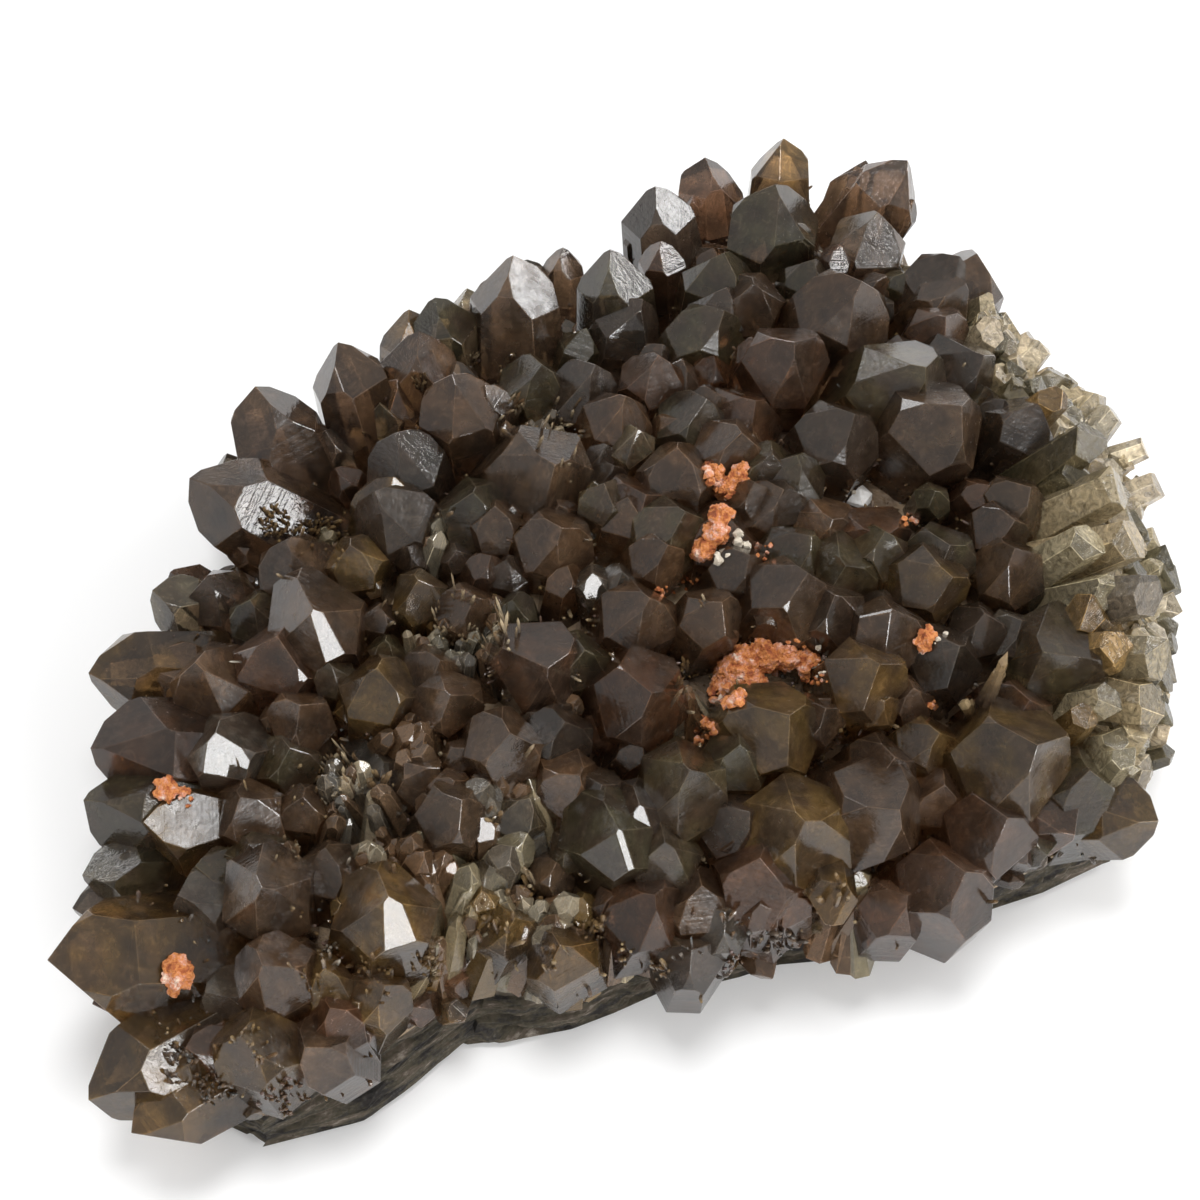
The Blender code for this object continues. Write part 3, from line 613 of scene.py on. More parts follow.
SLENDER = [Slender(*row) for row in [
    (505, 815, 46, 26, 75, 5.4, ("pale", "brown", "grey")), (440, 850, 34, 16, 80, 4.4, ("pale", "brown")),
    (350, 785, 34, 26, 95, 3.0, ("brown", "grey", "clear")), (415, 735, 24, 12, 75, 4.2, ("pale", "brown")),
    (480, 628, 38, 34, 75, 2.6, ("clear", "grey", "brown")), (425, 625, 22, 12, 80, 2.6, ("clear", "brown")),
    (490, 908, 36, 26, 85, 4.2, ("honey", "pale", "clear")), (560, 912, 30, 22, 80, 4.6, ("honey", "clear")),
    (425, 940, 24, 18, 80, 2.8, ("honey", "pale")), (620, 905, 26, 16, 80, 3.4, ("brown", "pale")),
    (545, 435, 28, 20, 60, 2.4, ("clear", "grey")), (500, 405, 16, 12, 80, 2.2, ("clear", "brown")),
    (325, 550, 24, 18, 60, 2.4, ("honey", "pale")), (435, 525, 16, 10, 40, 3.2, ("clear", "pale")),
    (690, 690, 12, 12, 95, 2.2, ("clear", "pale")), (285, 860, 20, 12, 90, 2.6, ("brown", "clear")),
    (385, 845, 20, 12, 85, 2.6, ("clear", "brown")), (575, 690, 16, 8, 20, 2.6, ("brown", "clear")),
    (560, 640, 16, 10, 60, 2.4, ("clear", "brown")), (852, 885, 20, 10, 70, 3.4, ("honey", "pale")),
]]


def slender_points(areas, seed):
    rng = random.Random(seed)
    added = []
    for area in areas:
        for _ in range(area.count):
            u, v = pixel_in(area, rng)
            heading = area.heading + rng.uniform(-30, 30)
            lean = rng.uniform(35, 65)
            width = area.widest * rng.uniform(0.4, 1.0) * MM
            length = width * rng.uniform(1.2, 1.9) + 9 * MM
            tint = rng.choice(area.tints + ("brown",))
            axis = lean_direction(heading, lean)
            tip = tip_place(Point(u, v, 0, heading, lean, tint), axis, length)
            added.append(Crystal(tip, axis, width, length, tint, False, 8000 + len(added)))
    return added


# Facets that flash in the picture: each is turned to throw one lamp's light to the viewer
LAMPS = {
    "back left lamp": Vector((-0.7, 0.9, 0.8)),
    "right lamp": Vector((0.95, -0.5, 0.6)),
    "front lamp": Vector((0.3, -1.15, 0.5)),
    "upper right lamp": Vector((1.0, 0.5, 0.6)),
}
FLASHES = [
    (222, 596), (268, 650), (297, 656), (226, 738), (259, 848), (365, 600), (208, 1000),
    (512, 606), (540, 670), (638, 706), (596, 577), (628, 584), (733, 648), (797, 727), (887, 680),
    (947, 660), (1072, 660), (706, 613), (789, 596), (658, 817), (599, 832), (960, 369), (620, 330),
    (364, 917), (976, 432), (707, 415), (775, 438), (630, 455), (900, 600), (1008, 818), (385, 480),
]


def flash_normals(crystals):
    """For each flashing facet, its crystal's seed and the direction that it has to face."""
    found = {}
    for u, v in FLASHES:
        best = (2.0, None, None)
        for crystal in crystals:
            tip_u, tip_v = picture_pixel(crystal.tip)
            off = math.hypot(u - tip_u, v - tip_v) / pixels(crystal.width)
            if off > 0.75 or crystal.seed in found or crystal.broken:
                continue
            toward = Vector((u - tip_u, tip_v - v)).normalized()
            for lamp in LAMPS.values():
                to_lamp = (lamp - crystal.tip).normalized()
                to_eye = (VIEWER - crystal.tip).normalized()
                normal = (to_lamp + to_eye).normalized()
                miss = abs(math.degrees(normal.angle(crystal.axis)) - PYRAMID_DEGREES) / 30
                seen = Vector((normal.dot(VIEW_RIGHT), normal.dot(VIEW_UP))).normalized()
                score = off + miss + 0.4 * (1 - seen.dot(toward))
                if score < best[0]:
                    best = (score, crystal.seed, normal)
        if best[1] is not None:
            found[best[1]] = best[2]
    return found


# Each crystal carries attributes through the fusing: its tint, a chance value for each facet, how
# many of its own widths below the tip a place lies, and which facets are the narrow bevels along its
# edges, which the materials paint lighter as a painted highlight, or polished
def srgb(code):
    """A linear colour from its six hex digits."""
    parts = [int(code[place:place + 2], 16) / 255 for place in (0, 2, 4)]
    return [part / 12.92 if part <= 0.04045 else ((part + 0.055) / 1.055) ** 2.4 for part in parts]


TINTS = {
    "brown": srgb("aa8868"),
    "red": srgb("a47a5c"),
    "honey": srgb("c29c62"),
    "olive": srgb("918565"),
    "dark": srgb("80705f"),
    "grey": srgb("a69a88"),
    "pale": srgb("ead6ac"),
    "clear": srgb("fae8c6"),
}
EDGE_WIDTH = 0.1 * MM


def carry(mesh, tip, axis, width, colour, seed):
    rng = random.Random(seed + 77)
    shade = rng.uniform(0.84, 1.16)
    warm = rng.uniform(-0.05, 0.05)
    colour = (colour[0] * shade * (1 + warm), colour[1] * shade, colour[2] * shade * (1 - warm), 1)
    mesh.attributes.new("tint", "FLOAT_COLOR", "FACE")
    mesh.attributes.new("facet", "FLOAT", "FACE")
    mesh.attributes.new("along", "FLOAT", "CORNER")
    mesh.attributes["tint"].data.foreach_set("color", colour * len(mesh.polygons))
    mesh.attributes["facet"].data.foreach_set("value", [rng.random() for _ in mesh.polygons])
    along = [(tip - mesh.vertices[loop.vertex_index].co).dot(axis) / width for loop in mesh.loops]
    mesh.attributes["along"].data.foreach_set("value", along)


def crystal_mesh(crystal):
    flash = flashing.get(crystal.seed)
    corners = crystal_corners(crystal, random.Random(crystal.seed), flash)
    for corner in corners:
        corner.z = max(corner.z, rock_top(share_of_rim(corner)) + 2 * GAP)
    mesh = convex_mesh("crystal", corners)
    shape = opened(mesh)
    edge = shape.faces.layers.float.new("edge")
    edge_bevel = bmesh.ops.bevel(
        shape, geom=shape.edges[:], offset=EDGE_WIDTH, offset_type="OFFSET", segments=1,
        affect="EDGES", clamp_overlap=True,
    )
    # The bevel faces are marked so that the materials paint them lighter: a painted highlight along the
    # edges
    for face in edge_bevel["faces"]:
        face[edge] = 1.0
    polish = shape.faces.layers.float.new("polish")
    shape.normal_update()
    for face in shape.faces:
        face[polish] = 1.0 if flash is not None and face.normal.dot(flash) > 0.999 else 0.0
    bmesh.ops.remove_doubles(shape, verts=shape.verts, dist=0.01 * MM)
    written(shape, mesh)
    carry(mesh, crystal.tip, crystal.axis, crystal.width, TINTS[crystal.tint], crystal.seed)
    return mesh


def linked(name, data):
    made = bpy.data.objects.new(name, data)
    bpy.context.scene.collection.objects.link(made)
    return made


def apply_modifier(piece, modifier):
    """Gives the piece the mesh that its modifier makes, and takes the modifier off."""
    bpy.context.view_layer.update()
    graph = bpy.context.evaluated_depsgraph_get()
    piece.data = bpy.data.meshes.new_from_object(piece.evaluated_get(graph))
    piece.modifiers.remove(modifier)


def fused(name, meshes):
    """One closed skin round all the meshes, with nothing left sealed inside."""
    pieces = bpy.data.collections.new("pieces")
    bpy.context.scene.collection.children.link(pieces)
    for mesh in meshes[1:]:
        pieces.objects.link(bpy.data.objects.new("piece", mesh))
    made = linked(name, meshes[0])
    union = made.modifiers.new("union", "BOOLEAN")
    union.operation = "UNION"
    union.solver = "MANIFOLD"
    union.operand_type = "COLLECTION"
    union.collection = pieces
    apply_modifier(made, union)
    for piece in list(pieces.objects):
        bpy.data.objects.remove(piece)
    bpy.data.collections.remove(pieces)
    drop_hollows(made.data)
    return made


def drop_hollows(mesh):
    """Deletes each skin that is turned inside out, which is the wall of a sealed hollow."""
    shape = opened(mesh)
    unseen = set(shape.verts)
    while unseen:
        skin = set()
        front = [unseen.pop()]
        while front:
            vert = front.pop()
            skin.add(vert)
            for edge in vert.link_edges:
                other = edge.other_vert(vert)
                if other in unseen:
                    unseen.discard(other)
                    front.append(other)
        faces = {face for vert in skin for face in vert.link_faces}
        volume = sum(face.calc_center_median().dot(face.normal) * face.calc_area() for face in faces)
        if volume < 0:
            bmesh.ops.delete(shape, geom=list(skin), context="VERTS")
    written(shape, mesh)


# The broken columns are slimmer here than in the solid, and the fillers keep off wide slender areas
BROKEN_SLIMMER = 0.42
WIDE_AREA = 18
COLUMNS_START = 960
# Each kind of filler has its spacing, its least and greatest width, and its seed
LARGE_FILLERS = (10.5 * MM, (9.5 * MM, 12.5 * MM), 3)
SMALL_FILLERS = (5.5 * MM, (4.5 * MM, 7.5 * MM), 11)
COLUMN_COUNT = 420
COLUMN_WIDTHS = (2.2 * MM, 5.0 * MM)
# Bearings round the rim in degrees, anticlockwise from the picture's right
BROKEN_RIM = (-28, 58)
WHOLE_RIM = (58, 332)

as_modelled = [crystal for crystal in listed_crystals() if crystal.width > SMALLEST_MODELLED]
large = filler_crystals(as_modelled, *LARGE_FILLERS)
listed = [
    crystal._replace(width=crystal.width * BROKEN_SLIMMER) if crystal.broken else crystal
    for crystal in listed_crystals()
]
standing = [crystal for crystal in listed if crystal.width > SMALLEST_MODELLED]
standing += off_the_edge(clear_of([area for area in SLENDER if area.reach > WIDE_AREA], large))
standing += uncovered(CHIP_SPOT, [crystal for crystal in listed if crystal.width <= SMALLEST_MODELLED])
open_spots = RUST_CRUMBS + WHITE_GRAINS
small = filler_crystals(standing, *SMALL_FILLERS)
small = clear_of(open_spots + SLENDER, small) + clear_of(open_spots, companions(listed, 17))
standing += off_the_edge(uncovered(CHIP_SPOT, small))
columns = [
    crystal for crystal in standing
    if crystal.broken and picture_pixel(crystal.tip)[0] > COLUMNS_START
]
standing = [crystal for crystal in standing if crystal not in columns]
columns += broken_columns(COLUMN_COUNT, COLUMN_WIDTHS, 21)
columns += rim_crystals(240, BROKEN_RIM, True, ("pale", "clear", "olive"), 12)
standing += rim_crystals(460, WHOLE_RIM, False, ("brown", "olive", "red", "honey"), 14)
slender = uncovered(CHIP_SPOT, clear_of(open_spots, slender_points(SLENDER, 61)))

flashing = flash_normals(listed)
crust = fused("smoky_quartz_points", [crystal_mesh(crystal) for crystal in standing])
broken_edge = fused("broken_quartz_columns", [crystal_mesh(crystal) for crystal in columns])
slender_quartz = fused("slender_quartz_points", [crystal_mesh(crystal) for crystal in slender])


def add_node(tree, kind, inputs=None, **settings):
    """A node with its settings and inputs; an input is a value, or a socket to link from."""
    made = tree.nodes.new(kind)
    for name, value in settings.items():
        setattr(made, name, value)
    for name, value in (inputs or {}).items():
        socket = made.inputs[name]
        if isinstance(value, bpy.types.NodeSocket):
            tree.links.new(value, socket)
        else:
            socket.default_value = value
    return made


def new_material(name):
    material = bpy.data.materials.new(name)
    material.use_nodes = True
    material.node_tree.nodes.clear()
    return material, material.node_tree


def object_mm(tree, stretch=(1, 1, 1)):
    """Object coordinates in millimetres, so that pattern scales read as sizes."""
    place = add_node(tree, "ShaderNodeTexCoord")
    scale = [1000 * part for part in stretch]
    scaled = add_node(tree, "ShaderNodeMapping", {"Vector": place.outputs["Object"], "Scale": scale})
    return scaled.outputs[0]


def noise_mm(tree, place, size, detail=4.0, roughness=0.6):
    """Noise whose patches are about size millimetres across."""
    return add_node(tree, "ShaderNodeTexNoise", {
        "Vector": place, "Scale": 1 / size, "Detail": detail, "Roughness": roughness,
    }).outputs["Fac"]


def attribute(tree, name, output="Fac"):
    return add_node(tree, "ShaderNodeAttribute", attribute_name=name).outputs[output]


def spread(tree, value, low, high, to_low, to_high):
    return add_node(tree, "ShaderNodeMapRange", {
        "Value": value, "From Min": low, "From Max": high, "To Min": to_low, "To Max": to_high,
    }).outputs[0]


def times(tree, first, second):
    return add_node(tree, "ShaderNodeMath", {0: first, 1: second}, operation="MULTIPLY").outputs[0]


def mixed(tree, factor, first, second):
    return add_node(tree, "ShaderNodeMix", {0: factor, 6: first, 7: second}, data_type="RGBA").outputs[2]


def shaded(tree, colour, shade):
    """The colour, darker or lighter by the factor shade."""
    return add_node(tree, "ShaderNodeVectorMath", {0: colour, "Scale": shade}, operation="SCALE").outputs[0]


def bumped(tree, height, strength, distance):
    return add_node(tree, "ShaderNodeBump", {
        "Height": height, "Strength": strength, "Distance": distance,
    }).outputs[0]


def distorted_noise(tree, place, scale, detail, roughness, distortion):
    return add_node(tree, "ShaderNodeTexNoise", {
        "Vector": place, "Scale": scale, "Detail": detail, "Roughness": roughness, "Distortion": distortion,
    }).outputs["Fac"]


def surfaced(tree, inputs, filling=None):
    """Ends a material in one surface, and in what fills the body behind it where that is given."""
    shader = add_node(tree, "ShaderNodeBsdfPrincipled", inputs)
    ends = {"Surface": shader.outputs[0]}
    if filling:
        ends["Volume"] = filling.outputs[0]
    add_node(tree, "ShaderNodeOutputMaterial", ends)


def colour_ramp(tree, factor, stops):
    ramp = add_node(tree, "ShaderNodeValToRGB", {"Fac": factor})
    ramp.color_ramp.elements[0].position = stops[0][0]
    ramp.color_ramp.elements[0].color = (*srgb(stops[0][1]), 1)
    ramp.color_ramp.elements[1].position = stops[-1][0]
    ramp.color_ramp.elements[1].color = (*srgb(stops[-1][1]), 1)
    for position, code in stops[1:-1]:
        ramp.color_ramp.elements.new(position).color = (*srgb(code), 1)
    return ramp.outputs["Color"]


def smoky_quartz_material():
    """Smoky quartz: see-through brown, cloudy with veils, its growth faces dull to glassy."""
    material, tree = new_material("smoky quartz")
    place = object_mm(tree)
    tint = attribute(tree, "tint", "Color")
    facet = attribute(tree, "facet")
    edge = attribute(tree, "edge")
    along = attribute(tree, "along")
    clouds = spread(tree, noise_mm(tree, place, 5.0, 2.0), 0.3, 0.7, 0.65, 1.3)
    wisps = distorted_noise(tree, place, 0.45, 5.0, 0.6, 2.2)
    veils = spread(tree, wisps, 0.5, 0.68, 0.85, 1.5)
    # Darker towards each crystal's foot: partly the quartz's own colour zoning, partly painted shade where
    # the points crowd together
    zoning_and_foot_shade = spread(tree, along, 0.0, 1.3, 1.05, 0.3)
    face_shade = spread(tree, facet, 0.0, 1.0, 0.8, 1.2)
    shade = times(tree, times(tree, clouds, veils), times(tree, zoning_and_foot_shade, face_shade))
    # The narrow bevels along the crystals' edges are painted lighter: a painted highlight
    shade = times(tree, shade, spread(tree, edge, 0.0, 1.0, 1.0, 1.7))
    heart = spread(tree, noise_mm(tree, place, 7.0, 1.0), 0.42, 0.6, 0.3, 1.0)
    smoky = mixed(tree, heart, (*srgb("7f6b5b"), 1), tint)
    colour = shaded(tree, smoky, shade)
    frost = times(tree, noise_mm(tree, place, 2.5, 5.0), spread(tree, facet, 0.0, 1.0, 0.5, 1.5))
    glassy = spread(tree, facet, 0.82, 0.9, 0.0, 0.8)
    polish = add_node(tree, "ShaderNodeMath", {
        0: attribute(tree, "polish"), 1: glassy,
    }, operation="MAXIMUM").outputs[0]
    dull = spread(tree, polish, 0.0, 1.0, 1.0, 0.25)
    rough = times(tree, spread(tree, frost, 0.15, 0.85, 0.03, 0.32), dull)
    steps = add_node(tree, "ShaderNodeTexNoise", {
        "W": times(tree, along, 9.0), "Scale": 1.0, "Detail": 3.0,
    }, noise_dimensions="1D").outputs["Fac"]
    grain = noise_mm(tree, place, 0.9, 3.0)
    relief = add_node(tree, "ShaderNodeMath", {0: steps, 1: grain}, operation="ADD").outputs[0]
    smoke = add_node(tree, "ShaderNodeVolumeAbsorption", {"Color": (*srgb("b8956c"), 1), "Density": 60.0})
    surfaced(tree, {
        "Base Color": colour,
        "Roughness": rough,
        "IOR": QUARTZ_IOR,
        "Transmission Weight": 0.85,
        "Normal": bumped(tree, relief, times(tree, dull, 0.3), 0.16 * MM),
    }, smoke)
    return material


def show(piece, material, slot, *nodes):
    """The finished piece, with its material, riding on the part in place of CAD nodes."""
    piece.data.materials.clear()
    piece.data.materials.append(material)
    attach(piece, "root")
    if nodes:
        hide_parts(*nodes)


show(crust, smoky_quartz_material(), "smoky_quartz", "quartz_crystals")


def pale_quartz_material(name, cracked):
    """Pale quartz: cracked through and cloudy where it is split, or clear with glassy faces."""
    material, tree = new_material(name)
    place = object_mm(tree)
    tint = attribute(tree, "tint", "Color")
    facet = attribute(tree, "facet")
    edge = attribute(tree, "edge")
    cracks = distorted_noise(tree, place, 0.5, 8.0, 0.7, 1.5)
    cloudy = spread(tree, cracks, 0.35, 0.65, 0.3 if cracked else 0.7, 1.15)
    face_shade = spread(tree, facet, 0.0, 1.0, 0.45, 1.2)
    # The narrow bevels along the columns' edges are painted lighter: a painted highlight
    shade = times(tree, times(tree, cloudy, face_shade), spread(tree, edge, 0.0, 1.0, 1.0, 1.5))
    lumps = noise_mm(tree, place, 1.4, 4.0)
    surfaced(tree, {
        "Base Color": shaded(tree, tint, shade),
        "Roughness": spread(tree, cracks, 0.3, 0.7, 0.03, 0.3 if cracked else 0.12),
        "IOR": QUARTZ_IOR,
        "Transmission Weight": 0.6 if cracked else 0.75,
        "Normal": bumped(tree, lumps, 0.6 if cracked else 0.1, 0.5 * MM),
    })
    return material


show(broken_edge, pale_quartz_material("broken quartz", True), "smoky_quartz", "quartz_crystals")
slender_look = pale_quartz_material("slender clear quartz", False)
show(slender_quartz, slender_look, "smoky_quartz", "quartz_crystals")


# The milky quartz that the points are rooted in, seen in the hollows between them and through them:
# a lumpy dome of vein quartz, cream to brown, as it lies under the points on the host rock
def milky_base():
    mesh = crust_slab()
    shape = opened(mesh)
    bmesh.ops.triangulate(shape, faces=shape.faces)
    long_edges = [edge for edge in shape.edges if edge.calc_length() > 2 * MM]
    bmesh.ops.subdivide_edges(shape, edges=long_edges, cuts=3, use_grid_fill=True)
    shape.normal_update()
    for vert in shape.verts:
        if vert.co.z > rock_top(share_of_rim(vert.co)) + 2.5 * MM:
            lump = noise.fractal(vert.co / (5 * MM), 0.7, 2.1, 4)
            vert.co.z += (lump * 1.1 - 0.3) * MM
    bmesh.ops.triangulate(shape, faces=shape.faces)
    written(shape, mesh)
    return linked("milky_quartz_base", mesh)


def milky_quartz_material():
    """Vein quartz: cloudy cream to brown, stained in patches, with a dull sugary surface."""
    material, tree = new_material("milky vein quartz")
    place = object_mm(tree)
    stain = noise_mm(tree, place, 9.0, 6.0, 0.65)
    colour = colour_ramp(tree, stain, [
        (0.3, "4b3d33"), (0.45, "77644f"), (0.56, "9a8468"), (0.7, "c8b698"),
    ])
    relief = bumped(tree, noise_mm(tree, place, 1.2, 6.0), 1.0, 0.9 * MM)
    surfaced(tree, {"Base Color": colour, "Roughness": 0.35, "Normal": relief})
    return material


milky = milky_base()
show(milky, milky_quartz_material(), "smoky_quartz", "quartz_crystals")


# Druse: sprays of clear and pale needles, and crusts of sugar-fine points, which grew last in the
# hollows between the big crystals; the sprays follow the picture, the finest points fill the rest
Spray = namedtuple("Spray", "u v reach count length width heading fan tint")

SPRAYS = [Spray(*row) for row in [
    # upper left and the hollow behind the middle
    (508, 408, 16, 24, 5.0, 1.0, 80, 70, "clear"), (545, 440, 12, 16, 5.0, 0.9, 60, 70, "clear"),
    (562, 415, 14, 14, 4.0, 0.9, 40, 80, "clear"), (574, 474, 14, 18, 4.0, 0.9, 100, 80, "clear"),
    (474, 365, 6, 7, 4.0, 0.8, 90, 60, "clear"), (420, 384, 8, 7, 3.5, 0.9, 90, 60, "pale"),
    (583, 543, 8, 8, 4.0, 0.9, 30, 60, "clear"),
    (445, 512, 10, 8, 5.0, 1.2, 60, 60, "clear"), (318, 545, 28, 70, 3.0, 1.0, 60, 120, "honey"),
    (275, 525, 16, 30, 2.5, 0.9, 90, 120, "honey"), (238, 660, 5, 4, 5.0, 0.9, 170, 40, "white"),
    # left, under the back row
    (383, 618, 13, 20, 3.5, 0.9, 60, 90, "clear"), (290, 577, 10, 12, 3.0, 0.8, 90, 90, "clear"),
    (470, 625, 36, 70, 5.5, 0.9, 75, 60, "clear"), (440, 608, 12, 12, 4.5, 0.9, 60, 60, "clear"),
    (512, 640, 14, 20, 4.5, 0.9, 90, 70, "clear"),
    (432, 748, 13, 16, 5.0, 1.3, 60, 50, "clear"), (344, 778, 22, 34, 5.0, 1.0, 100, 60, "clear"),
    (300, 800, 32, 40, 3.0, 1.0, 90, 100, "pale"), (380, 788, 13, 14, 4.0, 1.6, 80, 60, "pale"),
    (570, 680, 9, 9, 3.5, 1.0, 0, 50, "clear"), (565, 640, 12, 12, 3.5, 0.9, 60, 70, "clear"),
    (520, 765, 8, 6, 5.0, 1.5, 80, 25, "clear"),
    (489, 818, 10, 10, 5.0, 1.5, 80, 40, "pale"),
    (540, 877, 14, 12, 4.5, 1.5, 100, 50, "clear"),
    (350, 865, 11, 16, 3.0, 1.0, 90, 100, "white"),
    (380, 868, 15, 22, 3.0, 1.0, 80, 100, "clear"), (286, 855, 16, 20, 3.0, 1.0, 80, 90, "clear"),
    (295, 912, 14, 16, 3.0, 1.0, 60, 90, "pale"), (258, 800, 24, 26, 3.0, 1.1, 90, 90, "pale"),
    # honey sugar along the front
    (305, 980, 20, 40, 2.6, 1.1, 90, 120, "honey"), (328, 958, 12, 20, 2.6, 1.0, 60, 100, "white"),
    (370, 985, 26, 50, 3.0, 1.1, 90, 110, "honey"), (432, 960, 20, 34, 3.0, 1.2, 80, 100, "honey"),
    (480, 925, 20, 36, 4.0, 1.6, 80, 80, "honey"), (520, 905, 18, 30, 4.5, 1.7, 75, 70, "honey"),
    (510, 935, 14, 24, 4.0, 1.6, 70, 90, "pale"), (556, 955, 22, 36, 3.5, 1.5, 90, 90, "honey"),
    (590, 930, 14, 20, 3.5, 1.4, 90, 90, "honey"), (630, 952, 12, 12, 3.5, 1.5, 80, 80, "pale"),
    (658, 972, 10, 10, 3.0, 1.3, 80, 80, "pale"), (690, 923, 10, 12, 3.0, 1.2, 90, 90, "rose"),
    (732, 965, 12, 14, 3.0, 1.3, 90, 90, "rose"), (690, 958, 20, 30, 2.6, 1.2, 90, 110, "grey"),
    (732, 925, 20, 26, 2.6, 1.2, 90, 110, "grey"), (778, 952, 22, 28, 3.0, 1.3, 80, 100, "grey"),
    (830, 905, 26, 34, 4.0, 1.7, 70, 80, "honey"),
    (990, 911, 9, 8, 3.0, 1.3, 60, 80, "honey"),
    # lower left corner
    (240, 1050, 30, 60, 2.8, 1.1, 80, 120, "honey"), (178, 1065, 20, 40, 2.4, 1.1, 90, 120, "grey"),
    (275, 1105, 30, 60, 2.4, 1.1, 80, 120, "rose"), (215, 1085, 22, 36, 2.4, 1.1, 90, 120, "grey"),
    # round the middle and the right
    (683, 705, 12, 22, 5.5, 1.1, 100, 45, "clear"), (680, 680, 10, 16, 4.0, 1.0, 80, 60, "honey"),
    (696, 865, 8, 7, 5.0, 1.2, 110, 30, "clear"), (700, 603, 10, 9, 2.6, 1.0, 90, 80, "clear"),
    (843, 733, 5, 3, 3.5, 2.0, 90, 40, "honey"),
    (964, 712, 8, 2, 11.0, 4.0, 50, 8, "pale"), (986, 698, 8, 2, 11.0, 3.6, 40, 8, "pale"),
    (962, 372, 9, 8, 3.0, 1.1, 60, 80, "clear"), (1010, 385, 16, 14, 3.5, 1.2, 50, 80, "pale"),
]]

DRUSE_TINTS = {
    "clear": srgb("f0dab4"),
    "white": srgb("fff4e0"),
    "pale": srgb("e2c698"),
    "honey": srgb("bb9c6c"),
    "rose": srgb("ab9086"),
    "grey": srgb("94908a"),
}
# The tints run from this brown to the needle's own
ROOT_BROWN = srgb("94724e")
# A needle's foot is sunk this far into what it grows on
SUNK = 0.35 * MM


def needle_mesh():
    """One needle a unit wide and long: six sides and an uneven six-faced point."""
    shape = bmesh.new()
    rings = []
    for height, radius in ((0.0, 0.5), (0.78, 0.44)):
        rings.append([
            shape.verts.new((
                radius * math.cos(turn * math.pi / 3),
                radius * math.sin(turn * math.pi / 3),
                height + (0.05 * (turn % 2) if height else 0),
            ))
            for turn in range(6)
        ])
    peak = shape.verts.new((0.06, 0.02, 1.0))
    shape.faces.new(reversed(rings[0]))
    for turn in range(6):
        after = (turn + 1) % 6
        shape.faces.new((rings[0][turn], rings[0][after], rings[1][after], rings[1][turn]))
        shape.faces.new((rings[1][turn], rings[1][after], peak))
    mesh = bpy.data.meshes.new("needle")
    written(shape, mesh)
    mesh.attributes.new("height", "FLOAT", "POINT")
    mesh.attributes["height"].data.foreach_set("value", [vert.co.z for vert in mesh.vertices])
    return mesh


crust.data.calc_loop_triangles()
skin = BVHTree.FromPolygons(
    [vert.co for vert in crust.data.vertices],
    [tuple(triangle.vertices) for triangle in crust.data.loop_triangles],
)
along_of = crust.data.attributes["along"].data
depths = [
    sum(along_of[loop].value for loop in triangle.loops) / 3
    for triangle in crust.data.loop_triangles
]


def sprayed():
    """Foot, axis, length, width and tint of each needle in the sprays."""
    rng = random.Random(31)
    rows = []
    for spray in SPRAYS:
        for _ in range(spray.count * 2):
            u, v = pixel_in(spray, rng)
            heading = spray.heading + rng.uniform(-0.5, 0.5) * spray.fan
            lean = rng.uniform(15, 65)
            length = spray.length * rng.uniform(0.35, 1.2) * MM
            width = min(spray.width * rng.uniform(0.35, 0.8) * MM, length * 0.3)
            place, normal, face, _ = skin.ray_cast(VIEWER, sight_line(u, v))
            bare = rng.random() < 0.9
            if place is None or (bare and depths[face] < 0.7):
                continue
            axis = (lean_direction(heading, lean) + normal * 0.5).normalized()
            rows.append((place - axis * SUNK - normal * SUNK, axis, length, width, spray.tint))
    return rows


def scattered(surface, count, seed):
    """Finest points over the hollows of a surface, denser where it lies low between crystals."""
    rng = random.Random(seed)
    surface.calc_loop_triangles()
    triangles = surface.loop_triangles
    areas = np.cumsum([triangle.area for triangle in triangles])
    along = surface.attributes["along"].data if "along" in surface.attributes else None
    rows = []
    while len(rows) < count:
        triangle = triangles[int(np.searchsorted(areas, rng.random() * areas[-1]))]
        first, second = sorted((rng.random(), rng.random()))
        shares = (first, second - first, 1 - second)
        corners = [surface.vertices[index].co for index in triangle.vertices]
        place = sum((corner * share for corner, share in zip(corners, shares)), Vector())
        depth = 2.0
        if along:
            depth = sum(along[loop].value * share for loop, share in zip(triangle.loops, shares))
        length = rng.uniform(0.7, 1.9) * MM
        wobble = Vector((rng.gauss(0, 0.5), rng.gauss(0, 0.5), rng.gauss(0, 0.5)))
        tint = rng.choice(("rose", "honey", "grey", "pale"))
        patch = noise.noise(place / (17 * MM))
        too_high = depth < 1.0 - 0.3 * patch
        if too_high or place.z < rock_top(0) + 2 * MM or rng.random() > 0.5 + patch:
            continue
        axis = (triangle.normal + wobble + Vector((0, 0, 0.5))).normalized()
        foot = place - triangle.normal * SUNK
        rows.append((foot, axis, length, length * rng.uniform(0.25, 0.5), tint))
    return rows


